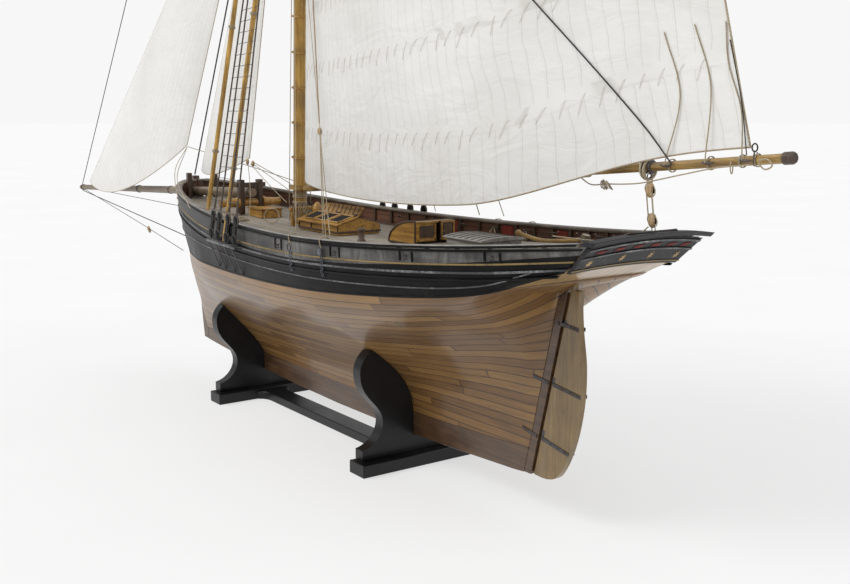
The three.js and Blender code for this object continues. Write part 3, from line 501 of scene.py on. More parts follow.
# ---- shapes ------------------------------------------------------------------------------------
class Shape:
    """Collects closed lofts, tubes, boxes and turned parts, in millimetres, into one mesh."""

    def __init__(self):
        self.verts, self.faces, self.tints, self.uvs = [], [], [], []

    def loft(self, loops, tint=0, u=None, v=None, caps=True):
        """A skin through closed loops, with a u for each loop and a v for each corner."""
        n, base = len(loops[0]), len(self.verts)
        u = u or [loop[0][0] * MM for loop in loops]
        v = v or [i / n for i in range(n + 1)]
        at = v if isinstance(v[0], list) else [v] * len(loops)
        for loop in loops:
            self.verts += [tuple(c * MM for c in point) for point in loop]
        for s in range(len(loops) - 1):
            for i in range(n):
                a, b = base + s * n + i, base + s * n + (i + 1) % n
                self.faces.append((a, b, b + n, a + n))
                self.tints.append(tint[i] if isinstance(tint, list) else tint)
                self.uvs += [(u[s], at[s][i]), (u[s], at[s][i + 1]), (u[s + 1], at[s + 1][i + 1]),
                             (u[s + 1], at[s + 1][i])]
        if caps:
            last = base + (len(loops) - 1) * n
            for ring in (range(base + n - 1, base - 1, -1), range(last, last + n)):
                self.faces.append(tuple(ring))
                self.tints.append(tint[0] if isinstance(tint, list) else tint)
                self.uvs += [(self.verts[k][1], self.verts[k][2]) for k in ring]
        return self

    def tube(self, points, radius, sides=8, tint=0):
        points = [Vector(p) for p in points]
        radii = radius if isinstance(radius, (list, tuple)) else [radius] * len(points)
        loops, u, run, side_way = [], [], 0.0, None
        for i, point in enumerate(points):
            ahead = points[min(i + 1, len(points) - 1)] - points[max(i - 1, 0)]
            ahead.normalize()
            if side_way is None:
                side_way = ahead.orthogonal().normalized()
            side_way = (side_way - ahead * side_way.dot(ahead)).normalized()
            other = ahead.cross(side_way)
            if i:
                run += (point - points[i - 1]).length
            u.append(run * MM)
            turn = [math.tau * k / sides for k in range(sides)]
            loops.append([tuple(point + (side_way * math.cos(t) + other * math.sin(t)) * radii[i])
                          for t in turn])
        return self.loft(loops, tint, u)

    def turned(self, start, end, outline, sides=28, tint=0):
        """A turned part from start to end; outline lists (share of the length, radius)."""
        way = Vector(end) - Vector(start)
        points = [Vector(start) + way * share for share, _ in outline]
        ahead = way.normalized()
        a = ahead.orthogonal().normalized()
        b = ahead.cross(a)
        loops = [[tuple(p + (a * math.cos(math.tau * k / sides) + b * math.sin(math.tau * k / sides)) * r)
                  for k in range(sides)] for p, (_, r) in zip(points, outline)]
        return self.loft(loops, tint, [share * way.length * MM for share, _ in outline])

    def box(self, centre, size, tint=0, axes=None):
        axes = axes or Matrix.Identity(3)
        x, y, z = (s / 2 for s in size)
        loops = [[tuple(Vector(centre) + axes @ Vector(c)) for c in
                  ((sx, -y, -z), (sx, y, -z), (sx, y, z), (sx, -y, z))] for sx in (-x, x)]
        return self.loft(loops, tint)

    def ball(self, centre, radius, tint=0, squash=(1, 1, 1), rings=8, sides=14):
        loops = []
        for i in range(rings + 1):
            angle = math.pi * clamp(i / rings, 0.02, 0.98)
            ring = [(math.sin(angle) * math.cos(math.tau * k / sides),
                     math.sin(angle) * math.sin(math.tau * k / sides), math.cos(angle))
                    for k in range(sides)]
            loops.append([tuple(c + radius * s * q for c, s, q in zip(centre, squash, p)) for p in ring])
        return self.loft(loops, tint, [i / rings * 0.01 for i in range(rings + 1)])

    def stud(self, centre, radius):
        return self.ball(centre, radius, rings=5, sides=8)

    def ring(self, centre, radius, wire, normal=(0, 0, 1), tint=0, sides=6, steps=24, squash=1.0):
        """A wire bent round a centre, in the plane across its normal."""
        middle, up = Vector(centre), Vector(normal).normalized()
        a = up.orthogonal().normalized()
        b = up.cross(a)
        around = [math.tau * k / steps for k in range(steps)]
        section = [(math.cos(math.tau * k / sides), math.sin(math.tau * k / sides)) for k in range(sides)]
        loops = []
        for t in around:
            point = middle + a * math.cos(t) * radius + b * math.sin(t) * radius * squash
            out = (point - middle).normalized()
            loops.append([tuple(point + (out * c + up * s) * wire) for c, s in section])
        along = [radius * t * MM for t in (*around, math.tau)]
        return self.loft(loops + [loops[0]], tint, along, caps=False)

    def make(self, name, materials, body="hull", slot="black_paint", bevel=0.0, angle=40, ride=True):
        mesh = bpy.data.meshes.new(name)
        mesh.from_pydata(self.verts, [], self.faces)
        layer = mesh.uv_layers.new(name="UVMap")
        layer.data.foreach_set("uv", [c for pair in self.uvs for c in pair])
        mesh.polygons.foreach_set("material_index", self.tints)
        for key in [materials] if isinstance(materials, str) else materials:
            mesh.materials.append(M[key])
        return finish_mesh(mesh, name, body, bevel, angle, ride)

    def cordage(self, name, material="hemp", body="hull", ride=True):
        return self.make(name, material, body, "tarred_rope", angle=80, ride=ride)


def finish_mesh(mesh, name, body, bevel, angle, ride=True):
    soft = bmesh.new()
    soft.from_mesh(mesh)
    bmesh.ops.remove_doubles(soft, verts=soft.verts, dist=1e-6)
    bmesh.ops.recalc_face_normals(soft, faces=soft.faces)
    soft.to_mesh(mesh)
    soft.free()
    made = bpy.data.objects.new(name, mesh)
    bpy.context.scene.collection.objects.link(made)
    if bevel:
        edge = made.modifiers.new("edge", "BEVEL")
        edge.width, edge.segments, edge.limit_method = bevel * MM, 2, "ANGLE"
        edge.angle_limit = math.radians(35)
    mesh.shade_smooth()
    mesh.set_sharp_from_angle(angle=math.radians(angle))
    if ride:
        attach(made, body)
    return made


def shaped(node, material, bevel, angle=35):
    """A CAD node as a piece of its own: the same solid with eased edges and its own finish."""
    mesh = NODES[node].data.copy()
    mesh.name = node + "_finish"
    mesh.materials.clear()
    mesh.materials.append(M[material])
    soft = bmesh.new()
    soft.from_mesh(mesh)
    bmesh.ops.remove_doubles(soft, verts=soft.verts, dist=1e-6)
    flat = [e for e in soft.edges if len(e.link_faces) == 2]
    bmesh.ops.dissolve_limit(soft, angle_limit=math.radians(1.0), verts=soft.verts, edges=flat)
    for edge in soft.edges:
        edge.smooth = True
    soft.to_mesh(mesh)
    soft.free()
    made = finish_mesh(mesh, node + "_finish", NODES[node]["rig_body"], bevel, angle)
    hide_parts(node)


# ---- camera at the photograph's angle ----------------------------------------------------------
def place_camera():
    azimuth, elevation, roll = (math.radians(d) for d in (54.417, 9.413, 0.086))
    back = Vector((math.sin(azimuth) * math.cos(elevation),
                   -math.cos(azimuth) * math.cos(elevation), math.sin(elevation)))
    right = (-back).cross(Vector((0, 0, 1))).normalized()
    up = right.cross(-back)
    level = right * math.cos(roll) + up * math.sin(roll)
    up = up * math.cos(roll) - right * math.sin(roll)
    turned = Matrix((level, up, back)).transposed().to_4x4()
    lens = bpy.data.cameras.new("camera")
    lens.sensor_width, lens.lens = 36.0, 44.974
    lens.clip_start, lens.clip_end = 0.02, 60
    eye = bpy.data.objects.new("camera", lens)
    bpy.context.scene.collection.objects.link(eye)
    eye.matrix_world = Matrix.Translation((1.0976, -0.5801, 0.3370)) @ turned
    bpy.context.scene.camera = eye


place_camera()


# ---- cords -------------------------------------------------------------------------------------
def smooth(points, steps=8):
    """A Catmull-Rom line through the points."""
    if len(points) == 2:
        return [lerp(points[0], points[1], k / steps) for k in range(steps + 1)]
    ends = [lerp(points[1], points[0], 2), *points, lerp(points[-2], points[-1], 2)]
    line = []
    for a, b, c, d in zip(ends, ends[1:], ends[2:], ends[3:]):
        for k in range(steps):
            t = k / steps
            line.append(tuple(0.5 * (2 * q + (r - p) * t + (2 * p - 5 * q + 4 * r - s) * t * t +
                                     (3 * q - p - 3 * r + s) * t ** 3) for p, q, r, s in zip(a, b, c, d)))
    return line + [tuple(points[-1])]


def run_of(points):
    return sum((Vector(a) - Vector(b)).length for a, b in zip(points, points[1:])) * MM


def line(name, points, diameter, material="hemp", body="hull", lay="taut", far_end="object", steps=8):
    """A rope as a tube along a smooth line."""
    path = smooth(points, steps)
    rope_piece = Shape().tube(path, diameter / 2, 8).cordage(name, material, body)
    metres = [tuple(c * MM for c in p) for p in path]
    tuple(metres[0])
    round(run_of(path), 4)


def before_sail(x, y, z, off=1.3):
    """The same point, moved to port of the mainsail's cloth if the cloth is in its way."""
    return (x, min(y, cloth_at(x, z) - off), z)


def on_sail(u, v, off=1.3):
    x, y, z = main_point(u, v)
    return (x, y - off, z)


lift = [lerp((591, -6.2, boom_z(591) + 1), (mast_at(822) + 5, -9.5, 822), k / 24) for k in range(25)]
line("topping_lift", [before_sail(*p) for p in lift], 1.2, "tarred", "boom_rig", steps=2)
line("reef_pendant_1", [on_sail(0.913, 0.14), on_sail(0.919, 0.065), (584, -6.0, 303)], 0.9, "hemp",
     "boom_rig", lay="hanging")
line("reef_pendant_2", [on_sail(0.956, 0.14), on_sail(0.963, 0.07), (620, -6.0, 306)], 0.9, "hemp",
     "boom_rig", lay="hanging")
line("reef_pendant_3", [on_sail(0.998, 0.135), on_sail(0.992, 0.09), on_sail(0.998, 0.04),
                        (650, -5.6, 309)], 0.9, "hemp", "boom_rig", lay="hanging")
line("outhaul", [on_sail(0.999, 0.115, 1.0), on_sail(1.0, 0.05, 1.0), (653, -4.8, 312)], 0.8, "tarred",
     "boom_rig")
line("boom_guy_line", [(497, -6.3, boom_z(497) - 2), (512, -6.6, 286), (528, -6.2, 287), (548, -7, 288),
                       (566, -6, 290), (600, -6.6, 297), (630, -6.5, 303), (657, -6.3, 306)], 1.0, "hemp",
     "boom_rig", lay="hanging")
for name, *points in (
        ("peak_halyard_upper", (400, 0, gaff_z(400) + 5), (mast_at(905) + 6, -2, 905)),
        ("peak_halyard_lower", (255, 0, gaff_z(255) + 5), (mast_at(868) + 7, 2, 868)),
        ("throat_halyard", (mast_at(712) + 13, 2, 712), (mast_at(826) + 10, 2, 822))):
    line(name, points, 1.0, body="boom_rig")
SHEETS = (
    ("jib_sheet_port", 0.9, (-223, -18, 297), (-150, -66, 270), (-46, -106, 238)),
    ("jib_sheet_port_lower", 0.9, (-223, -18.6, 295.5), (-130, -72, 262), (16, -119, 238)),
    ("jib_sheet_starboard", 0.9, (-223, -17.4, 297), (-160, 48, 270), (-60, 103, 241)),
    ("staysail_sheet_port", 0.8, (-42, -20, 281), (-22, -28, 250), (-2, -40, 220)),
    ("staysail_sheet_inner", 0.8, (-42, -17, 281), (0, -14, 258), (36, -12, 241)),
    ("staysail_sheet_cross", 0.8, (-42, -15, 282), (0, -4, 262), (38, 12, 240)),
    ("staysail_sheet_starboard", 0.8, (-44, -12, 283), (-18, 30, 252), (-6, 44, 220)),
)
for name, thick, *points in SHEETS:
    line(name, points, thick)
RUNNER_HEAD = (mast_at(798) + 5, -8.5, 798)
RUNNER_BLOCK = lerp((303, -118, 233), RUNNER_HEAD, 0.16)
RUNNER_FEET = (("fore", (297, -116.5, 234)), ("middle", (303, -117.5, 233)), ("aft", (308, -116, 234.5)))
for name, foot in RUNNER_FEET:
    line("runner_fall_" + name, [lerp(RUNNER_BLOCK, foot, 0.03), foot], 0.8)
line("runner_pendant", [lerp(RUNNER_BLOCK, RUNNER_HEAD, 0.015), RUNNER_HEAD], 1.1, "shroud_rope")
HALYARDS = (
    ("hoist_fall_port", 0.8, (mast_at(815), -9, 815), (249, -117, 234)),
    ("signal_halyard_port", 0.6, (mast_at(828) + 10, -36, 828), (306, -115.5, 236)),
    ("hoist_fall_starboard", 0.9, (mast_at(815), 9, 815), (150, 112, 233)),
    ("runner_starboard", 1.1, (mast_at(806) + 7, 8, 806), (222, 117, 234)),
    ("runner_starboard_aft", 0.9, (mast_at(808) + 8, 8, 808), (262, 117, 236)),
    ("jib_halyard", 0.9, (mast_at(790) + 2, -7, 790), (44, -13, 240)),
    ("staysail_halyard", 0.9, (mast_at(780), 8, 780), (48, 12, 240)),
    ("topsail_halyard", 0.7, (mast_at(1060) - 15 + 4.5, 1.5, 1060), (mast_at(930) - 6, 3, 928)),
)
for name, thick, *points in HALYARDS:
    line(name, points, thick)
line("main_sheet_fall", [(568, -2.2, 258), (560, -9, 250), (543, -26, 247), (520, -52, 250)], 1.0, "hemp",
     lay="loose", far_end="knot")
line("bowsprit_shroud_port", [(-680, -13, 219), (-368, -20, 178)], 0.9, "tarred")
line("bowsprit_shroud_port_heel", [(-362, -20.8, 177.5), (-172, -50, 168)], 0.9, "tarred")
line("bowsprit_shroud_starboard", [(-680, -8, 219), (-200, 32, 205)], 0.9, "tarred")


# ---- planked and painted hull ------------------------------------------------------------------
def both(half, station):
    """Loop of a station that is alike to both hands, from its starboard half, bottom to top."""
    port = [(-y, z) for y, z in reversed(half)]
    return [(leaned(station, z), y, z) for y, z in half + port]


def plank_rows(half, planks):
    """Plank numbers round a section: between an even share of its girth and of its height."""
    start = max(half[0][1] - KEEL_Z, 0.0)
    girth = [start]
    for (y0, z0), (y1, z1) in zip(half, half[1:]):
        girth.append(girth[-1] + math.hypot(y1 - y0, z1 - z0))
    rise = half[-1][1] - KEEL_Z
    share = [0.55 * g / girth[-1] + 0.45 * (z - KEEL_Z) / rise for g, (_, z) in zip(girth, half)]
    up = [planks * s for s in share]
    return up + [planks + 1 + planks - v for v in reversed(up)] + [0.0]


def hull_bottom():
    steps, planks = 26, 22
    loops, rows = [], []
    marks = stations(-221.5, 503)
    for station in marks:
        low = profile(station)
        high = max(paint_line(station), low + 0.4)
        bulge, rise = through(station, BULGE), through(station, RISE)
        half = []
        for i in range(steps + 1):
            angle = math.pi / 2 * i / steps
            half.append((KEEL_HALF + (paint_breadth(station) - KEEL_HALF) * math.sin(angle) ** bulge,
                         low + (high - low) * (1 - math.cos(angle)) ** rise))
        loops.append(both(half, station))
        rows.append(plank_rows(half, planks))
    piece = Shape().loft(loops, 0, [s * MM for s in marks], rows)
    made = piece.make("hull_planking", "hull_planks", slot="hull_wood", angle=50)
    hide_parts("hull_bottom")


def topsides():
    loops = []
    marks = stations(-230, 541)
    for station in marks:
        centre = max(paint_line(station), profile(station)) + 0.3
        edge = centre if station < 477 else paint_line(station) + 0.3
        half = [(paint_breadth(station) * i / 5, centre + (edge - centre) * (i / 5) ** 2) for i in range(6)]
        top = deck_edge(leaned(station, DECK_Z))
        for i in range(1, 11):
            z = edge + (top - edge) * i / 10
            half.append((side(leaned(station, z), z), z))
        loops.append(both(half, station))
    # the underside of the counter takes the paler planks; their extra paleness is a painted highlight
    under, high = [1] * 5, [0] * 10
    tint = under + high + [0] + high + under + [1]
    v = [1.4 * i for i in range(6)] + [8 + i for i in range(10)]
    v += [40 - value for value in reversed(v)] + [40]
    shape = Shape().loft(loops, tint, [s * MM for s in marks], v)
    made = shape.make("topsides", ["black_paint", "counter_planks"], angle=50)
    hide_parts("hull_topsides")


def strip(first, last, shape, hand, tint=0, v=None, shape_into=None):
    """A closed strip along the side; shape gives its corners (inset, z) at a station."""
    loops, marks = [], stations(first, last)
    for station in marks:
        loop = []
        for inset, z in shape(station):
            x = leaned(station, z)
            loop.append((x, hand * max(side(x, z) - inset * across(x), 0.3), z))
        loops.append(loop)
    target = shape_into or Shape()
    return target.loft(loops, tint, [s * MM for s in marks], v)


def bulwark_shape(station):
    x = leaned(station, DECK_Z)
    low = max(deck_edge(x), profile(x)) + 0.3
    high = max(sheer(leaned(station, RAIL_Z)) - 3.3, low + 0.5)
    rows = [low + (high - low) * i / 3 for i in range(4)]
    return [(0, z) for z in rows] + [(3, z) for z in reversed(rows)]


def rail_shape(station):
    high = sheer(leaned(station, RAIL_Z))
    return [(-1.4, high - 2.6), (-1.7, high - 1.8), (-1.7, high - 0.9), (-1.1, high), (5.6, high),
            (6.2, high - 0.8), (6.2, high - 2.2), (5.6, high - 3)]


def rail_lip(station):
    """The cap's outer edge is painted with the side."""
    high = sheer(leaned(station, RAIL_Z))
    return [(-1.5, high - 2.7), (-1.95, high - 2.2), (-1.95, high - 0.7), (-1.5, high - 0.5)]


def rail_bead(station):
    """The corner of the cap, rubbed pale, and paler still as a painted highlight along the edge."""
    high = sheer(leaned(station, RAIL_Z))
    return [(-1.85, high - 0.7), (-1.85, high + 0.1), (-0.7, high + 0.25), (-0.7, high - 0.2)]


def waterway_shape(station):
    low = deck_edge(leaned(station, DECK_Z))
    return [(3.3, low + 2.1), (3.3, low + 4.4), (5.6, low + 4.2), (7.6, low + 2.9), (7.6, low + 2.1)]


def turned_in(x, hand):
    """The slant of the side at x, for what stands along it."""
    return hand * math.atan((half_breadth(x + 1) - half_breadth(x - 1)) / 2)


def bulwarks():
    for hand, name in PAIR:
        tint = [0, 0, 0, 1, 1, 1, 1, 0]
        v = [0, 1, 2, 3, 3, 4, 5, 6, 6]
        wall = strip(-235.5, 541, bulwark_shape, hand, tint, v=v)
        # outer face of the bulwark: weathered silver streaks, with a painted sheen growing aft
        made = wall.make("bulwark_skin_" + name, ["weathered_and_sheen_side", "inner_planks"], angle=50)
        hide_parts("bulwark_" + name)
        cap = strip(-235.5, 537, rail_shape, hand)
        made = cap.make("rail_cap_" + name, "rail_wood", slot="rail_wood", angle=60)
        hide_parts("rail_" + name)
        lip = strip(-235.5, 537, rail_lip, hand)
        lip.make("rail_lip_" + name, "black_paint", angle=60)
        # a pale strip on the cap's outer corner: wear and a painted highlight
        bead = strip(-235.5, 537, rail_bead, hand)
        bead.make("rail_bead_" + name, "pale_grey", slot="rail_wood", angle=60)


def deck():
    loops, marks = [], stations(-218, 541)
    for station in marks:
        x = leaned(station, DECK_Z)
        low = deck_edge(x) + 0.3
        rim = leaned(station, low + 1.6)
        edge = side(rim, low) - 3.6 * across(rim)
        crown = 6.5 * (half_breadth(x) / 122.6) ** 2
        half = [(0, low), (edge, low)] + [(edge * i / 14, low + 1.6 + crown * (1 - (i / 14) ** 2))
                                          for i in range(14, -1, -1)]
        right = [(leaned(station, z), y, z) for y, z in half]
        left = [(x, -y, z) for x, y, z in reversed(right[1:-1])]
        loops.append(right + left)
    shape = Shape()
    shape.loft(loops, 0, [s * MM for s in marks])
    for k, face in enumerate(shape.faces):
        if len(face) == 4:
            for c in range(4):
                x, y, _ = shape.verts[face[c]]
                shape.uvs[4 * k + c] = (x, y * 1000 / 5.2 + 60.5)
    made = shape.make("deck_planking", "deck_planks", slot="deck_wood", angle=50)
    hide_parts("deck")


def band(name, material, height, thick, level, first=-232, last=540.5):
    """A moulding bent round the topsides on both hands, at level(x)."""
    def section(station):
        z = level(leaned(station, DECK_Z))
        return [(0.05, z - height / 2), (-thick * 0.35, z - height / 2), (-thick, z - height * 0.28),
                (-thick, z + height * 0.28), (-thick * 0.35, z + height / 2), (0.05, z + height / 2)]
    shape = Shape()
    for hand, _ in PAIR:
        strip(first, last, section, hand, shape_into=shape)
    shape.make(name, material, angle=60)


GOLD_DROP = [(-232, 15), (20, 20), (320, 16), (541, 14.5)]
LOW_RISE = [(-220, 30), (135, 15), (506, 5), (541, 4)]


def gold_z(x):
    return sheer(x) - through(x, GOLD_DROP)


def trim_bands():
    band("gold_line", "gold_line", 1.5, 0.5, gold_z)
    band("sheer_moulding", "moulding_grey", 2.0, 1.2, lambda x: gold_z(x) - 6.5)
    band("wale_upper_edge", "black_paint", 2.4, 1.5, lambda x: gold_z(x) - 12.0)
    band("wale_lower_edge", "moulding_grey", 1.4, 0.9, lambda x: paint_line(x) + through(x, LOW_RISE) + 1,
         -218, 520)
    band("under_rail_bead", "black_paint", 1.6, 1.0, lambda x: sheer(x) - 4.6)
    band("boot_edge", "black_paint", 1.2, 0.35, lambda x: paint_line(x) + 1.2, -205, 500)


def side_frame(shape, x, z, wide, high, hand, proud=0.9):
    """A narrow upright batten lying on the side of the hull."""
    loops = []
    for k in range(5):
        height = z - high / 2 + high * k / 4
        loop = []
        for dx, out in ((-wide / 2, 0), (-wide / 2, proud), (wide / 2, proud), (wide / 2, 0)):
            loop.append((x + dx, hand * skin(x + dx, height, out), height))
        loops.append(loop)
    shape.loft(loops)


def gun_ports():
    shape = Shape()
    bolts = Shape()
    for hand, _ in PAIR:
        for x in (90, 222, 322, 410, 492):
            for dx in (-6.5, 6.5):
                low, high = gold_z(x) + 2, sheer(x) - 5.5
                side_frame(shape, x + dx, (low + high) / 2, 1.3, high - low, hand)
            z = gold_z(x) + 6
            y = hand * (skin(x, z) + 1.3)
            bolts.ring((x, y, z - 1.2), 1.7, 0.4, (1, 0, 0), steps=14)
            bolts.stud((x, hand * (skin(x, z) + 0.5), z), 0.9)
    shape.make("port_battens", "black_paint")
    bolts.make("port_ring_bolts", "iron", slot="iron")


def inner_bulwark():
    """Stanchions, waterway, panels and red port lids on the inner faces of the bulwarks."""
    posts, panels, waterway, dots = Shape(), Shape(), Shape(), Shape()
    for hand, _ in PAIR:
        for k in range(25):
            x = -190 + 29.4 * k
            low, high = deck_at(x, half_breadth(x) - 5), sheer(x) - 3.1
            y = skin(x, high) - 4.3 * across(x)
            if y < 14:
                continue
            turn = Matrix.Rotation(turned_in(x, hand), 3, "Z")
            posts.box((x, hand * y, (low + high) / 2), (3.4, 2.2, high - low), axes=turn)
            if k in (6, 12, 15, 18, 22) and y > 20:
                mid = x + 14.7
                y2 = skin(mid, high) - 3.45 * across(mid)
                turn = Matrix.Rotation(turned_in(mid, hand), 3, "Z")
                low2 = deck_at(mid, half_breadth(mid) - 5) + 3
                panels.box((mid, hand * y2, (low2 + sheer(mid) - 4.5) / 2),
                           (17, 0.8, sheer(mid) - 4.5 - low2), axes=turn)
            if x > 330:
                dots.stud((x + 9, hand * (y - 0.4), high - 2), 0.9)
        strip(-196, 536, waterway_shape, hand, shape_into=waterway)
    posts.make("bulwark_stanchions", "dark_wood", slot="dark_wood", bevel=0.3)
    panels.make("port_lids_inside", "red_panel", bevel=0.25)
    waterway.make("waterways", "dark_wood", slot="dark_wood")
    dots.make("rail_studs", "white_dot", slot="rail_wood")


hull_bottom()
topsides()
bulwarks()
deck()
trim_bands()
gun_ports()
inner_bulwark()


# ---- stern -------------------------------------------------------------------------------------
def raked(y, z, out):
    """A point on the transom's plane: out millimetres abaft it."""
    return (STERN_X + RAKE * (z - STERN_Z) + out, y, z)


def arch_z(y, half, edge, centre):
    return centre + (edge - centre) * (y / half) ** 2


def transom_rail(shape, half, edge, centre, tall, out, deep, tint=0):
    loops = []
    for k in range(25):
        y = half * (2 * k / 24 - 1)
        z = arch_z(y, half, edge, centre)
        loops.append([raked(y, z - tall / 2, out), raked(y, z - tall / 2, out + deep),
                      raked(y, z + tall / 2, out + deep), raked(y, z + tall / 2, out)])
    return shape.loft(loops, tint, [k * 0.005 for k in range(25)])


def star(shape, y, z, size, out, tint=0):
    """A generic eight-pointed rosette, raised in the middle."""
    points = 16
    rim = [raked(y + size * (1 if k % 2 == 0 else 0.45) * math.cos(math.tau * k / points),
                 z + size * (1 if k % 2 == 0 else 0.45) * math.sin(math.tau * k / points), out)
           for k in range(points)]
    top = [raked(y + (p[1] - y) * 0.3, z + (p[2] - z) * 0.3, out + 1.1) for p in rim]
    shape.loft([rim, top], tint)


def stern():
    shaped("transom", "dark_panel", 0.3)
    shaped("taffrail", "dark_panel", 0.5)
    trims = Shape()
    transom_rail(trims, 58, 243.4, 247.6, 1.5, 4.6, 1.2, 0)
    transom_rail(trims, 57.4, 236.5, 240.5, 1.3, 4.6, 1.3, 0)
    transom_rail(trims, 56.6, 226.6, 229.4, 1.0, 4.6, 0.7, 1)
    for y in (-46, 46, -15, 15):
        star(trims, y, arch_z(y, 57, 231.4, 235.2), 3.3, 4.6, 4)
    for y in (-44, -27, -9, 9, 27, 44):
        z = arch_z(y, 58, 240.0, 244.0)
        for dy in (-2.8, 0, 2.8):
            trims.loft([[raked(y + dy + s + 1.6 * e, z + s * 0.3 + 1.5 * e, out) for s, e in
                         ((-1.2, -0.7), (1.2, -0.7), (1.2, 0.7), (-1.2, 0.7))] for out in (4.5, 5.2)], 3)
    trims.make("transom_mouldings",
               ["moulding_grey", "gold_line", "rail_wood", "red_panel", "block_wood"])


stern()


# ---- carried-over solids with eased edges ------------------------------------------------------
EASED = (   # material, width of the eased edge in millimetres, nodes
    ("stand_black", 0.8, "stand_block_fore stand_block_aft cradle_fore cradle_aft stretcher"),
    ("keel_wood", 0.5, "keel stem"), ("keel_wood", 0.3, "sternpost"), ("rudder_wood", 0.8, "rudder"),
    ("spar_x", 0, "tiller"),
    ("moulding_grey", 0.3, "channel_port"), ("dark_wood", 0.6, "knighthead_port"),
    ("moulding_grey", 0.3, "channel_starboard"), ("dark_wood", 0.6, "knighthead_starboard"),
    ("dark_wood", 0.5, "trestletrees mast_cap"),
    ("spar_x", 0, "boom"), ("dark_wood", 0.4, "boom_cap"), ("spar_x", 0, "gaff"),
    ("bowsprit_wood", 0, "bowsprit"), ("spar_z", 0, "lower_mast topmast"),
    ("dark_wood", 0.5, "bowsprit_bitts"), ("hatch_wood", 0.4, "windlass"),
    ("hatch_wood", 0.3, "fore_hatch"), ("hatch_wood", 0.4, "fore_hatch_lid fife_rail"),
    ("hatch_wood", 0.3, "skylight skylight_lid_port skylight_lid_starboard"),
    ("hatch_wood", 0.4, "companion"), ("hatch_wood", 0.3, "companion_door_port"),
    ("dark_wood", 0.3, "companion_door_starboard"),
    ("pale_grey", 0.3, "cabin_light"), ("pale_grey", 0.4, "cabin_light_lid"),
)
for material, edge, nodes in EASED:
    for node in nodes.split():
        shaped(node, material, edge)
for node in ("forestay", "topmast_stay", "bobstay"):
    shaped(node, "tarred", 0, 80)


# ---- sails as cut and sewn ---------------------------------------------------------------------
def cloth(name, point, columns, rows, seams, node, body="hull", trims=()):
    """A closed thin sail with seams every so often along u."""
    faces = []
    for face in (-0.32, 0.32):
        faces.append([[(p[0], p[1] + face, p[2]) for p in (point(i / columns, j / rows)
                      for i in range(columns + 1))] for j in range(rows + 1)])
    loops = [a + b[::-1] for a, b in zip(*faces)]
    count = columns + 1
    v = [i / columns * seams for i in range(count)]
    v += [seams * (1 - i / columns) for i in range(count)] + [0.0]
    shape = Shape().loft(loops, 0, [j / rows for j in range(rows + 1)], v)
    shape.uvs = [(b, a) for a, b in shape.uvs]
    made = shape.make(name, "canvas", body, "canvas", angle=60)
    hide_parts(node)


def bolt_rope(shape, point, edge, radius=0.7):
    shape.tube([point(*edge(k / 60)) for k in range(61)], radius, 6)


def main_trims():
    """Bolt ropes and reef points of the mainsail."""
    edging, points = Shape(), Shape()
    for edge in (lambda t: (t, 0), lambda t: (1, t), lambda t: (0, t), lambda t: (t, 1)):
        bolt_rope(edging, main_point, edge)
    random.seed(11)
    for reef in range(len(REEFS)):
        for k in range(34):
            u = 0.04 + 0.92 * k / 33
            top = Vector(main_point(u, reef_level(reef, u)))
            for hand in (-1, 1):
                length = random.uniform(10, 17)
                drift = random.uniform(-13, -4)
                path = []
                for t in (0, 0.08, 0.3, 0.55, 0.8, 1):
                    rise = math.sin(math.pi * t)
                    x, z = top.x + drift * t ** 1.4, top.z + 0.8 * rise - length * t ** 1.7
                    path.append((x, cloth_at(x, z) + hand * (0.35 + 0.55 * rise + 0.35 * t), z))
                points.tube(path, 0.16, 5)
    edge = edging.make("mainsail_bolt_rope", "hemp", "boom_rig", "canvas", angle=80)
    ties = points.make("mainsail_reef_points", "thread", "boom_rig", "canvas", angle=80)
    return [edge, ties]


REEFS = ((0.145, 0.1), (0.295, 0.215), (0.43, 0.33))


def reef_level(reef, u):
    return mix(REEFS[reef][0], REEFS[reef][1], clamp(u / 0.7) if reef == 0 else u)


def reef_bands():
    """Strips of doubled cloth along each row of reef points, laid on both faces."""
    bands = Shape()
    for reef in range(len(REEFS)):
        for face in (-1, 1):
            loops = []
            for k in range(73):
                u = k / 72
                x0, y0, z0 = main_point(u, reef_level(reef, u) - 0.009)
                x1, y1, z1 = main_point(u, reef_level(reef, u) + 0.009)
                near, far = face * 0.3, face * 0.44
                loops.append([(x0, y0 + near, z0), (x0, y0 + far, z0), (x1, y1 + far, z1),
                              (x1, y1 + near, z1)])
            bands.loft(loops, 0, [k / 72 for k in range(73)], [0.3, 0.4, 0.5, 0.6, 0.7])
    return bands.make("mainsail_reef_bands", "canvas", "boom_rig", "canvas")


cloth("mainsail_cloth", main_point, 72, 56, 44, "mainsail",
      "boom_rig", [*main_trims(), reef_bands()])


def head_trims(name, point):
    edging = Shape()
    for edge in (lambda t: (t, 0), lambda t: (1, t), lambda t: (0, t)):
        bolt_rope(edging, point, edge, 0.55)
    return edging.make(name, "hemp", "hull", "canvas", angle=80)


cloth("staysail_cloth", STAYSAIL, 30, 44, 13, "staysail",
      trims=[head_trims("staysail_bolt_rope", STAYSAIL)])
cloth("jib_cloth", JIB, 44, 44, 22, "jib",
      trims=[head_trims("jib_bolt_rope", JIB)])


# ---- shrouds, deadeyes and ratlines ------------------------------------------------------------
SHROUDS = (50, 72, 100, 124)


def shroud_at(hand, i, z):
    foot = (SHROUDS[i], hand * (half_breadth(SHROUDS[i]) + 6.5), 209.4)
    top = (mast_at(812) + 2 + 3 * i, hand * 9.5, 812)
    return lerp(foot, top, (z - 209.4) / (812 - 209.4))


def shifted(point, dx, dy=0, dz=0):
    return (point[0] + dx, point[1] + dy, point[2] + dz)


DEADEYE = 5.0                   # radius


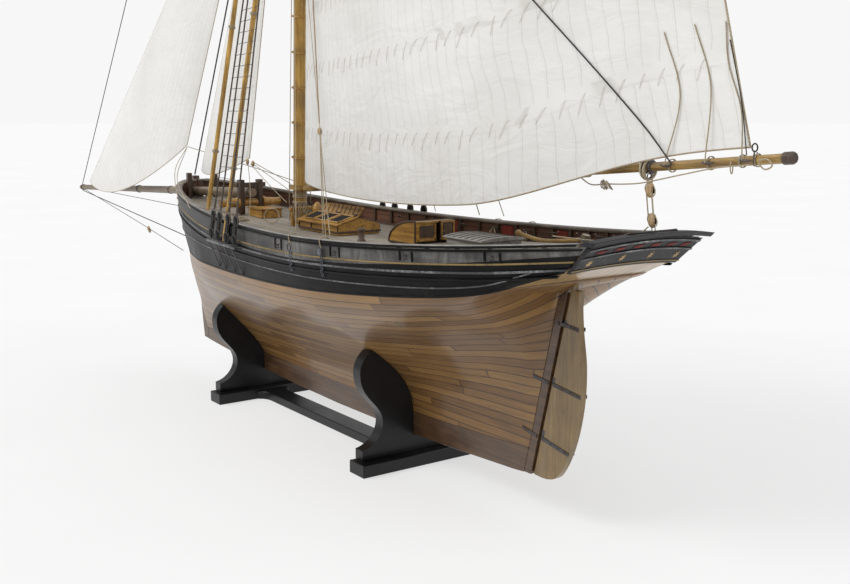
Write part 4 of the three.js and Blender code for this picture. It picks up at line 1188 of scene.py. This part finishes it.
def deadeye(shape, centre):
    """A round block with a grooved rim and three holes for its lanyard, filled by dark plugs as painted
    shade.
    """
    x, y, z = centre
    shape.turned((x, y - 1.5, z), (x, y + 1.5, z),
                 [(0, DEADEYE * 0.55), (0.12, DEADEYE * 0.88), (0.3, DEADEYE), (0.42, DEADEYE * 0.93),
                  (0.58, DEADEYE * 0.93), (0.7, DEADEYE), (0.88, DEADEYE * 0.88), (1, DEADEYE * 0.55)], 18)
    for k in range(3):
        angle = math.tau * (k / 3 + 0.25)
        cx, cz = x + math.cos(angle) * 2.2, z + math.sin(angle) * 2.2
        # painted shade: solid dark plugs stand where the holes are
        shape.turned((cx, y - 1.65, cz), (cx, y + 1.65, cz), [(0, 0.5), (1, 0.5)], 8, tint=1)


def shrouds():
    for hand, name in PAIR:
        eyes, lanyards, straps, lines = Shape(), Shape(), Shape(), Shape()
        for i, x in enumerate(SHROUDS):
            rope_run = [shroud_at(hand, i, z) for z in (236.5, 300, 420, 560, 700, 812)]
            lower, upper = shroud_at(hand, i, 214), shroud_at(hand, i, 232.5)
            shape = Shape().tube(rope_run, 0.85, 10)
            shape.ring(upper, 5.4, 0.8, (0, 1, 0), steps=20)
            for z in (240, 243.5, 248):
                shape.ring(shroud_at(hand, i, z), 1.0, 0.45, (0, 0, 1), steps=10)
            shape.tube([shifted(shroud_at(hand, i, z), dx)
                        for z, dx in ((238, 0), (243, 1.2), (251, 1.0))], 0.6, 6)
            made = shape.cordage(f"shroud_{name}_{i + 1}_rope", "shroud_tarred")
            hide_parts(f"shroud_{name}_{i + 1}")
            deadeye(eyes, lower)
            deadeye(eyes, upper)
            for dx in (-2.1, 0, 2.1):
                for dy in (-0.9, 0.9):
                    lanyards.tube([shifted(lower, dx, dy, 1), shifted(upper, dx, dy, -1)], 0.6, 5)
            straps.ring(lower, 5.3, 0.6, (0, 1, 0), steps=20)
            loops = []
            for k in range(7):
                t = k / 6
                z = 204.6 - 27 * t
                out = mix(9.0, 0.1, t ** 0.8)
                y = skin(x, z)
                loops.append([(x - 0.9, hand * (y + out), z), (x - 0.9, hand * (y + out + 0.8), z),
                              (x + 0.9, hand * (y + out + 0.8), z), (x + 0.9, hand * (y + out), z)])
            straps.loft(loops)
            for t in (0.72, 0.93):
                z = 204.6 - 27 * t
                y = skin(x, z) + mix(9.0, 0.1, t ** 0.8) + 0.9
                straps.stud((x, hand * y, z), 0.8)
        z = 250
        while z < 795:
            path = []
            for i in range(4):
                here = shroud_at(hand, i, z)
                path.append((here[0], here[1] + hand * 0.9, here[2]))
                if i < 3:
                    x, y, _ = lerp(here, shroud_at(hand, i + 1, z), 0.5)
                    path.append((x, y + hand * 0.9, z - 0.5))
            if abs(path[0][0] - path[-1][0]) > 12:
                lines.tube(path, 0.33, 5)
            z += 11.5
        ends = [shroud_at(hand, i, 239) for i in (0, 3)]
        pole = Shape().turned(shifted(ends[0], -5, hand * 1.7), shifted(ends[1], 5, hand * 1.7),
                              [(0, 0.6), (0.03, 0.9), (0.97, 0.9), (1, 0.6)], 10)
        pole.make(f"sheer_pole_{name}", "dark_wood", slot="dark_wood")
        eyes.make(f"deadeyes_{name}", ["black_paint", "dark_panel"], slot="dark_wood", angle=30)
        lanyards.cordage(f"lanyards_{name}", "tarred")
        straps.make(f"chainplates_{name}", "iron", slot="iron", bevel=0.15)
        lines.cordage(f"ratlines_{name}", "tarred")


shrouds()


# ---- masts and spars, their hoops and bands ----------------------------------------------------
BLOCK_FINISH = ["block_wood", "hemp", "black_paint"]


def pulley(shape, centre, size):
    """A small wooden block: an oval shell with a scored strop, and a thin black slab through it for the
    sheave slot, as painted shade.
    """
    shape.ball(centre, size, 0, (0.72, 0.62, 1.15), 8, 12)
    shape.ring(centre, size * 0.86, 0.4, (0, 1, 0), tint=1, steps=18, squash=1.3)
    # painted shade: a black slab where the sheave slot's shadow is
    shape.box(centre, (size * 1.46, size * 0.3, size * 0.9), 2)


def mast_work():
    hoops, turns, bands = Shape(), Shape(), Shape()
    z = 291.0
    while z < 690:
        hoops.ring((mast_at(z) + 1.8, 0, z), 9.6, 0.95, (0.16, 0, 1), steps=32, sides=8)
        hoops.tube([(mast_at(z) + 11.0, -0.8, z + 1.6), (mast_at(z) + 13.4, -0.9, z + 1.0)], 0.9, 6)
        z += 38.0
    hoops.make("mast_hoops", "hatch_wood", "boom_rig", "spar_wood", angle=60)
    for low, count in ((236, 5), (247, 4), (806, 8), (818, 5)):
        for k in range(count):
            z = low + k * 1.5
            turns.ring((mast_at(z), 0, z), 7.5, 0.8, (0.03 * (-1) ** k, 0.02, 1), steps=28)
    random.seed(5)
    for k in range(11):
        angle = math.tau * k / 11
        reach = random.uniform(9.5, 12.5)
        x, y = mast_at(226) + math.cos(angle) * reach, math.sin(angle) * reach
        low = 219.5 + random.uniform(0, 2)
        turns.tube(smooth([(x, y, 238), (x + 1.2, y * 1.08, 226), (x - 0.6, y * 1.1, low),
                           (x - 1.8, y * 1.02, 226), (x - 0.4, y * 0.96, 237)], 5), 0.65, 6)
    turns.cordage("mast_turns")
    for z, radius in ((826, 6.9), (838, 5.9), (905, 5.7)):
        bands.turned((mast_at(z - 2), 0, z - 2), (mast_at(z + 2), 0, z + 2),
                     [(0, radius), (0.1, radius + 0.5), (0.9, radius + 0.5), (1, radius)], 28)
    for x in (-676, -560, -420, -300):
        rim = 5.6 if x > -500 else 4.9
        bands.turned(*((end, BOWSPRIT_Y, bowsprit_z(end)) for end in (x - 1.6, x + 1.6)),
                     [(0, 4.4), (0.15, rim), (0.85, rim), (1, 4.4)], 20)
    bands.make("mast_and_bowsprit_bands", "iron", slot="iron", bevel=0.15)
    wraps = Shape()
    for k in range(7):
        x = -234 + k * 1.6
        wraps.ring((x, BOWSPRIT_Y, bowsprit_z(x)), 6.5, 0.85, (1, 0, 0.05))
    wraps.cordage("bowsprit_gammoning", "tarred")


def boom_work():
    bands, ropes, wooden, falls = Shape(), Shape(), Shape(), Shape()
    for x in (560.5, 567.5):
        bands.turned(*((end, 0, boom_z(end)) for end in (x - 1.3, x + 1.3)),
                     [(0, 4.3), (0.12, 4.85), (0.88, 4.85), (1, 4.3)], 24)
    bands.ring((565, 0, boom_z(565) - 6.6), 2.0, 0.5, (1, 0, 0), steps=16)
    bands.make("boom_bands", "iron", "boom_rig", "iron", bevel=0.15)
    for dx, tilt in ((-1.6, 0.10), (1.4, -0.06)):
        ropes.ring((564 + dx, 0, boom_z(564) - 1.8), 7.0, 0.85, (1, 0, tilt), steps=30, sides=8)
    for x in (586, 620, 646, 658, 498, 502):
        for k in range(2):
            turn_x, radius = x + k * 0.9, 4.55 if x < 640 else 4.2
            ropes.ring((turn_x, 0, boom_z(turn_x)), radius, 0.36, (1, 0, 0.06), steps=20)
    for k in range(6):
        x = 524 + 1.6 * k
        ropes.ring((x, -6.4, 286.5 - 0.4 * (k % 2)), 2.4 + 0.5 * (k % 3), 0.42,
                   (0.5 + 0.12 * k, 1, 0.2 * k), steps=16, squash=1.2)
    ropes.ring((640, -3.0, boom_z(640) - 4), 3.4, 0.45, (1, 0.5, 0), steps=20, squash=1.3)
    ropes.tube(smooth([(662, -4.4, 307), (668, -5.2, 303.5), (673, -4.8, 306), (669, -4.6, 310),
                       (662, -4.4, 309)], 6), 0.55, 6)
    for hand, _ in PAIR:
        ropes.tube([(563.8, hand * 4.6, boom_z(564) + 1), (564.6, hand * 3.6, 294),
                    (566.4, hand * 1.5, 289.5)], 0.7, 6)
    ropes.cordage("boom_lashings", "hemp", "boom_rig")
    for x in (585, 622, 653):
        z = boom_z(x)
        wooden.tube([(x - 5, -5.9, z + 0.6), (x - 2.2, -5.2, z), (x + 2.2, -5.2, z),
                     (x + 5, -5.9, z + 0.6)], [0.5, 1.1, 1.1, 0.5], 8)
    clew = Shape().ring((655.5, 0, 317), 2.6, 0.55, (0.2, 1, 0), steps=20)
    clew.tube(smooth([(656, -1, 315), (658.5, -4.5, 310), (657, -2, 305.5), (655, 3, 307),
                      (656, 2, 314)], 6), 0.5, 6)
    clew.cordage("clew_ring", "tarred", "boom_rig")
    wooden.make("boom_cleats", "dark_wood", "boom_rig", "dark_wood")
    shell = Shape()
    pulley(shell, (566.4, 0, 284.5), 5.0)
    made = shell.make("sheet_block_boom_shell", BLOCK_FINISH, "boom_rig", "hatch_wood", angle=30)
    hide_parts("sheet_block_boom")
    shell = Shape()
    pulley(shell, (569.5, 0, 262.6), 4.8)
    shell.ring((571, 0, 256.2), 1.7, 0.45, (0, 1, 0), tint=1, steps=14)
    made = shell.make("sheet_block_deck_shell", BLOCK_FINISH, slot="hatch_wood", angle=30)
    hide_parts("sheet_block_deck")
    for dx, dy in ((-2.6, -1.2), (2.6, -1.2), (0.0, 1.3)):
        falls.tube([lerp((566.4 + dx, dy, 284), (569.5 + dx, dy, 263), k / 8) for k in range(9)], 0.5, 6)
    made = falls.cordage("main_sheet_parts", ride=False)
    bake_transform(made)
    horse = Shape().tube(smooth([(566, -30, 249.5), (570, -26, 254.2), (572.6, -16, 254.8),
                                 (572.6, 16, 254.8), (570, 26, 254.2), (566, 30, 249.5)], 6), 0.8, 8)
    horse.make("sheet_horse", "iron", slot="iron", angle=80)


mast_work()
boom_work()


# ---- blocks and small gear aloft ---------------------------------------------------------------
def gear_blocks():
    fixed, swinging = Shape(), Shape()
    for spot in (RUNNER_BLOCK, (-386, BOWSPRIT_Y, 172.2), (-365, -20.5, 177.6), (mast_at(806) + 8, -9, 800),
                 (mast_at(806) + 8, 9, 800), (mast_at(822) + 11, 2, 818), (mast_at(905) + 8, -2, 902),
                 (mast_at(868) + 9, 2, 866), (-45.5, -19, 283.5), (-39.5, -15, 281.5)):
        pulley(fixed, spot, 3.2)
    for spot in ((400, 0, gaff_z(400) + 7), (255, 0, gaff_z(255) + 7), (mast_at(712) + 13, 2, 711)):
        pulley(swinging, spot, 3.2)
    fixed.make("rigging_blocks", BLOCK_FINISH, slot="hatch_wood", angle=30)
    swinging.make("gaff_blocks", BLOCK_FINISH, "boom_rig", "hatch_wood", angle=30)


gear_blocks()


# ---- steering gear -----------------------------------------------------------------------------
def rudder_axis(z):
    return 453 + (z - 60) * 0.244 + 3.8


def rudder_straps():
    moving, fixed = Shape(), Shape()
    for (x0, z0), (x1, z1) in (((476.5, 172.8), (500.5, 170.0)), ((448.5, 123.3), (504.2, 116)),
                               ((436, 76), (491.5, 65.6))):
        for hand, _ in PAIR:
            loops = []
            for k in range(13):
                t = k / 12
                x, z = mix(x0, x1, t), mix(z0, z1, t)
                axis = rudder_axis(z)
                y = 3.1 if x > axis + 3 else 3.4 if x > axis - 3.6 else 4.25
                loops.append([(x, hand * (y + out), z + rise) for out, rise in
                              ((0, -1.5), (0.7, -1.5), (0.7, 1.5), (0, 1.5))])
            split = next(k for k, loop in enumerate(loops) if loop[0][0] > rudder_axis(loop[0][2]) - 3.6)
            moving.loft(loops[split:])
            if split > 1:
                fixed.loft(loops[:split])
            for t in (0.62, 0.78, 0.94):
                x, z = mix(x0, x1, t), mix(z0, z1, t)
                moving.stud((x, hand * 3.9, z), 0.75)
        moving.turned((rudder_axis(z0) - 0.4, 0, z0 - 3), (rudder_axis(z0) + 0.4, 0, z0 + 3),
                      [(0, 3.5), (1, 3.5)], 16)
    moving.make("rudder_straps", "iron", "rudder", "iron", bevel=0.1)
    fixed.make("rudder_gudgeons", "iron", "hull", "iron", bevel=0.1)
    wraps = Shape()
    for k in range(3):
        z = 241.5 + k * 1.3
        wraps.ring((rudder_axis(z), 0, z), 3.7, 0.6, (0.2, 0, 1), steps=20)
    wraps.make("rudder_head_band", "iron", "rudder", "iron")


rudder_straps()


# ---- deck furniture ----------------------------------------------------------------------------
def tilt(angle):
    return Matrix.Rotation(angle, 3, "X")


def skylight_work():
    slope = math.atan(7 / 25)
    lid = Shape()
    for k in range(3):
        x = 102.5 + 26.3 * k
        y = -13.6
        z = 235.32 - abs(y) * 0.28
        axes = tilt(slope)
        lid.box((x, y, z + 0.12), (20.5, 18, 0.5), 1, axes)
        for dx, dy, sx, sy in ((-11.3, 0, 2.2, 22), (11.3, 0, 2.2, 22), (0, 10, 24.8, 2.4),
                               (0, -10, 24.8, 2.4)):
            offset = axes @ Vector((dx, dy, 0))
            lid.box((x + offset.x, y + offset.y, z + offset.z + 0.5), (sx, sy, 1.5), 0, axes)
        for bar in range(5):
            offset = axes @ Vector((-7.2 + 3.6 * bar, 0, 0.7))
            start, stop = axes @ Vector((0, -9, 0)), axes @ Vector((0, 9, 0))
            middle = Vector((x, y, z)) + offset
            lid.tube([middle + start, middle + stop], 0.42, 6, 2)
    for x in (94, 129, 164):
        lid.turned((x - 3, -0.9, 235.9), (x + 3, -0.9, 235.9), [(0, 0.9), (1, 0.9)], 10, 2)
    lid.make("skylight_panes", ["hatch_wood", "glass", "iron"], "skylight_lid_port", "hatch_wood",
             bevel=0.2)
    flap = Shape()
    axes = tilt(math.pi / 3)
    for k in range(9):
        for face in (-0.05, 1.85):
            middle = Vector((95.5 + 8.4 * k, 2.7, 233.5)) + axes @ Vector((0, 5.5, face))
            flap.box(middle, (1.1, 9.6, 0.6), 1, axes)
    flap.make("skylight_flap_battens", ["hatch_wood", "dark_wood"], "skylight_lid_starboard", "hatch_wood")
    trim = Shape()
    for y in (-25.5, 25.5):
        trim.box((129, y, 219.2), (83, 1.2, 2.0), 0)
        for x in (89, 115, 143, 169):
            trim.box((x, y, 222), (1.0, 1.1, 7.0), 0)
    for x in (87.5, 170.5):
        trim.box((x, 0, 219.2), (1.2, 52, 2.0), 0)
    trim.make("skylight_coaming_trim", "dark_wood", slot="dark_wood", bevel=0.2)


def companion_work():
    trim, foot = Shape(), deck_at(258)
    for y in (-22.4, 22.4):
        path = []
        for i in range(13):
            angle = math.pi / 2 * i / 12
            path.append((302 - 43.6 * math.cos(angle), y, foot + 1.6 + (239.6 - foot) * math.sin(angle)))
        trim.tube(path + [(302.4, y, 241.2)], 0.85, 8)
        trim.box((302.3, y, 230.5), (1.6, 1.6, 20.5))
        trim.box((281, y, 219.6), (43, 1.2, 2.2))
    for k in range(1, 7):
        angle = math.pi / 2 * k / 7
        x = 302 - 44.2 * math.cos(angle)
        z = foot + 1.4 + (240.0 - foot) * math.sin(angle)
        trim.box((x, 0, z), (0.7, 44, 0.5), axes=Matrix.Rotation(-(math.pi / 2 - angle) * 0.85, 3, "Y"))
    trim.make("companion_trim", "dark_wood", slot="dark_wood", bevel=0.15)
    doors = (("companion_door_port", -10.75, 22.5), ("companion_door_starboard", 13.5, 17.0))
    for node, y, wide in doors:
        leaf = Shape()
        leaf.box((304.4, y, 231.6), (0.7, wide - 7, 11.0), 1)
        for dy in (-wide / 2 + 1.6, wide / 2 - 1.6):
            leaf.box((304.5, y + dy, 231.6), (0.9, 1.6, 17.5))
        for z in (223.6, 239.8):
            leaf.box((304.5, y, z), (0.9, wide - 1.0, 1.6))
        leaf.ball((305.2, y + (wide / 2 - 3) * (1 if y < 0 else -1), 231), 0.9, 2, rings=6, sides=10)
        leaf.make(node + "_panels", ["hatch_wood", "dark_wood", "gold_line"], node, "hatch_wood", bevel=0.2)


def cabin_light_work():
    lid = Shape()
    for k in range(6):
        x = 353.5 + 8.6 * k
        loops = []
        for i in range(13):
            y = -24 + 4 * i
            z = 235.1 - 2.3 * (y / 24.5) ** 2
            loops.append([(x + dx, y, z + dz) for dx, dz in
                          ((-0.5, -0.3), (-0.5, 0.45), (0.5, 0.45), (0.5, -0.3))])
        lid.loft(loops, 0, [k * 0.01 + i * 0.003 for i in range(13)])
    lid.make("cabin_light_battens", "dark_wood", "cabin_light_lid", "rail_wood")
    trim = Shape()
    for y in (-22.4, 22.4):
        trim.box((375, y, 222.6), (51, 1.0, 1.8))
    for x in (349.6, 400.4):
        trim.box((x, 0, 222.6), (1.0, 45, 1.8))
    trim.make("cabin_light_coaming_trim", "dark_wood", slot="dark_wood", bevel=0.2)


def pin(shape, x, y, z):
    """A turned belaying pin, standing in a rail."""
    shape.turned((x, y, z - 3.6), (x, y, z + 4.4),
                 [(0, 0.35), (0.4, 0.6), (0.48, 1.0), (0.55, 0.55), (0.75, 0.95), (0.92, 0.8),
                  (1, 0.3)], 10)


def cleat(shape, x, y, z, turn):
    c, s = math.cos(turn), math.sin(turn)
    path = [(-5, 1.6), (-3, 2.2), (0, 2.0), (3, 2.2), (5, 1.6)]
    shape.tube([(x + c * a, y + s * a, z + b) for a, b in path], [0.4, 0.8, 1.0, 0.8, 0.4], 8)
    shape.box((x, y, z + 0.7), (2.2, 1.6, 1.8))


PINS_Y = range(-18, 19, 6)      # the seven pins of the fife rail


def deck_gear():
    wooden, lines, metalwork = Shape(), Shape(), Shape()
    for y in PINS_Y:
        pin(wooden, 62, y, 237.5)
    for hand, _ in PAIR:
        for x in (-130, -90, -46, 17, 92, 150, 200, 249, 300, 345, 420, 470):
            y = hand * (skin(x, sheer(x)) - 7.5 * across(x))
            cleat(wooden, x, y, sheer(x) - 9, -turned_in(x, hand))
        for x in (-60, 190, 282, 384, 452):
            y = hand * (skin(x, sheer(x)) - 5.6 * across(x))
            metalwork.ring((x, y, sheer(x) - 11), 2.1, 0.45, (0, 1, 0), steps=16)
    for x, y in ((205, -58), (205, 58), (330, -60), (330, 60), (20, -62), (20, 62)):
        metalwork.ring((x, y, deck_at(x, y) + 2.3), 2.2, 0.45, (1, 0.3, 0), steps=16)
        metalwork.turned((x, y, deck_at(x, y) + 0.1), (x, y, deck_at(x, y) + 0.8), [(0, 1.6), (1, 1.0)], 12)
    for y in (-32, 32):
        z = deck_at(225, y)
        wooden.turned((225, y, z + 0.2), (225, y, z + 13),
                      [(0, 4.2), (0.1, 4.2), (0.2, 3.0), (0.8, 3.0), (0.86, 4.0), (1, 3.6)], 20)
    wooden.make("pins_and_cleats", "dark_wood", slot="dark_wood", angle=50)
    metalwork.make("ring_bolts", "iron", slot="iron")
    for cx, cy in ((-12, -44), (505, -46), (-150, 22)):
        for k in range(4):
            z = deck_at(cx, cy) + 1.1 + 1.05 * (k % 3)
            lines.ring((cx + 0.5 * k, cy - 0.4 * k, z), 7 - k, 0.6, (0.05 * k, 0.03 * k, 1), steps=26)
    random.seed(21)
    for hand, _ in PAIR:
        for x in (-46, 17, 249, 300, 150):
            y = hand * (skin(x, sheer(x)) - 8.4 * across(x))
            z = sheer(x) - 8
            for k in range(3):
                reach = random.uniform(7, 10)
                low, inner = z - reach * 0.6, y - hand * 1.2
                lines.tube(smooth([(x - 2, y, z), (x - 3 - k, inner, low), (x, y - hand * 1.6, z - reach),
                                   (x + 3 + k * 0.7, inner, low), (x + 1, y, z + 0.5)], 5), 0.45, 6)
    for y in PINS_Y:
        for k in range(2):
            drop = random.uniform(9, 14)
            lines.tube(smooth([(64.8, y, 239), (65.8 + k, y + 1.5, 232), (65.5 + k, y, 237 - drop),
                               (65.5 + k, y - 1.6, 232), (64.8, y - 0.4, 239)], 5), 0.45, 6)
    lines.cordage("coils_on_pins")


def side_gear():
    """The tackle, strops and deadeye that hang over the port rail abreast the skylight."""
    dark, light, steel = Shape(), Shape(), Shape()
    for hand, _ in PAIR:
        for x, drop in ((249, 26), (303, 22)):
            top = sheer(x)
            edge = skin(x, top) + 1.9
            down = [(x, hand * (edge - 8), top + 1.2), (x, hand * (edge - 2), top + 1.3),
                    (x, hand * (edge + 0.6), top - 1), (x, hand * (skin(x, top - 8) + 1.2), top - 8)]
            light.tube(smooth(down, 5), 0.5, 6)
            z = top - 11
            eye = (x, hand * (skin(x, z) + 2.6), z)
            if drop < 25:
                dark.turned((eye[0], eye[1] - 1.3, eye[2]), (eye[0], eye[1] + 1.3, eye[2]),
                            [(0, 2.0), (0.25, 3.1), (0.5, 2.8), (0.75, 3.1), (1, 2.0)], 16, 1)
            dark.ring(eye, 3.2, 0.5, (0, 1, 0), steps=18)
            for k in range(7):
                zz = z - 4.5 - k * 2.6
                way = (1, 0, 0) if k % 2 else (0, 1, 0)
                steel.ring((x, hand * (skin(x, zz) + 1.3), zz), 1.5, 0.36, way, sides=5, steps=12)
    dark.make("side_strops", ["tarred", "steel_blue"], slot="tarred_rope", angle=50)
    light.cordage("side_lashings")
    steel.make("side_chains", "steel_blue", slot="iron")


# foot of each stowed pole, a point it passes, and its length as a share of the way to that point
POLES = (((92.6, -115.5, 209.6), (94, -81.5, 408), 2.3), ((22.1, -101, 236), (25, -71, 412), 2.2))


def stowed_spars():
    poles = Shape()
    for foot, via, reach in POLES:
        tip = lerp(foot, via, reach)
        poles.turned(foot, tip, [(0, 1.7), (0.02, 2.3), (0.5, 2.7), (0.97, 1.7), (1, 1.0)], 20)
    poles.make("stowed_poles", "spar_z", slot="spar_wood")
    ties = Shape()
    for foot, via, reach in POLES:
        for share in (0.16, 0.5, 0.92):
            x, y, z = lerp(foot, via, reach * share)
            for k in range(3):
                ties.ring((x, y, z + k * 1.1), 3.3, 0.5, (0, 0.15, 1), steps=18)
    ties.cordage("stowed_pole_ties")
    hoop = Shape().ring((34, -30, 226.5), 8.4, 0.55, (0.75, -0.6, 0.35), steps=36, sides=8)
    hoop.cordage("rope_hoop")
    pump = Shape().turned((70, 8, deck_at(70, 8) + 0.4), (70, 8, 243),
                          [(0, 2.2), (0.3, 2.2), (0.34, 4.6), (0.5, 5.8), (0.75, 5.4), (0.92, 3.4),
                           (1, 1.0)], 24)
    pump.make("pump_head", "hatch_wood", slot="hatch_wood", angle=60)


def bow_work():
    trims = Shape()
    for hand, _ in PAIR:
        for rise in (10, 17):
            path = []
            for k in range(9):
                t = k / 8
                x = mix(-243, -150, t)
                z = sheer(-200) - rise - 6 * (1 - t) ** 2 + 2
                y = max(skin(max(x, -232), z, 1.0), 4.6)
                path.append((x, hand * y, z))
            trims.tube(smooth(path, 3), 0.75, 6)
    trims.make("bow_mouldings", "moulding_grey")
    cheeks = Shape()
    for x, y in ((-214, -17.8), (-214, -3.8)):
        cheeks.box((x, y, 243), (5, 3, 22))
    cheeks.make("bowsprit_cheeks", "dark_wood", slot="dark_wood", bevel=0.4)


skylight_work()
companion_work()
cabin_light_work()
deck_gear()
side_gear()
stowed_spars()
bow_work()


# ---- floor and light ---------------------------------------------------------------------------
FLOOR_SIZE = 90                 # metres, so that its edge is lost in the background


def floor_and_light():
    bpy.ops.mesh.primitive_plane_add(size=FLOOR_SIZE, location=(0, 0, 0))
    floor = bpy.context.object
    floor.name = "floor"
    pale = Paint("floor", 0.9, Specular_IOR_Level=0.0, Emission_Color=(1.0, 1.0, 1.0, 1.0),
                 Emission_Strength=0.58)
    tone = pale.ramp(pale.noise(pale.at(), 3, 2), [(0.3, (0.31, 0.31, 0.31)), (0.7, (0.33, 0.33, 0.33))])
    floor.data.materials.append(pale.done(tone))
    world = bpy.data.worlds.new("world")
    bpy.context.scene.world = world
    world.use_nodes = True
    tree = world.node_tree
    lit = tree.nodes["Background"]
    lit.inputs[1].default_value = 1.0
    spot = tree.nodes.new("ShaderNodeTexCoord")
    height = tree.nodes.new("ShaderNodeSeparateXYZ")
    sky = tree.nodes.new("ShaderNodeValToRGB")
    tree.links.new(spot.outputs["Generated"], height.inputs[0])
    tree.links.new(height.outputs[2], sky.inputs[0])
    tree.links.new(sky.outputs[0], lit.inputs[0])
    sky.color_ramp.elements[0].color = (0.34, 0.34, 0.35, 1)
    sky.color_ramp.elements[1].color = (1.0, 1.0, 1.0, 1)
    seen = tree.nodes.new("ShaderNodeBackground")
    seen.inputs[0].default_value, seen.inputs[1].default_value = (1.0, 1.0, 1.0, 1), 0.93
    either = tree.nodes.new("ShaderNodeMixShader")
    tree.links.new(tree.nodes.new("ShaderNodeLightPath").outputs["Is Camera Ray"], either.inputs[0])
    tree.links.new(lit.outputs[0], either.inputs[1])
    tree.links.new(seen.outputs[0], either.inputs[2])
    tree.links.new(either.outputs[0], tree.nodes["World Output"].inputs[0])
    for name, place, strength, spread_of in (("key", (-1.0, -2.4, 2.6), 1.5, 30),
                                             ("fill", (2.2, 1.4, 1.8), 0.3, 60)):
        light = bpy.data.lights.new(name, "SUN")
        light.energy, light.angle = strength, math.radians(spread_of)
        lamp = bpy.data.objects.new(name, light)
        bpy.context.scene.collection.objects.link(lamp)
        lamp.rotation_mode = "QUATERNION"
        lamp.rotation_quaternion = (-Vector(place)).to_track_quat("-Z", "Y")
    bpy.context.scene.view_settings.view_transform = "Standard"


floor_and_light()
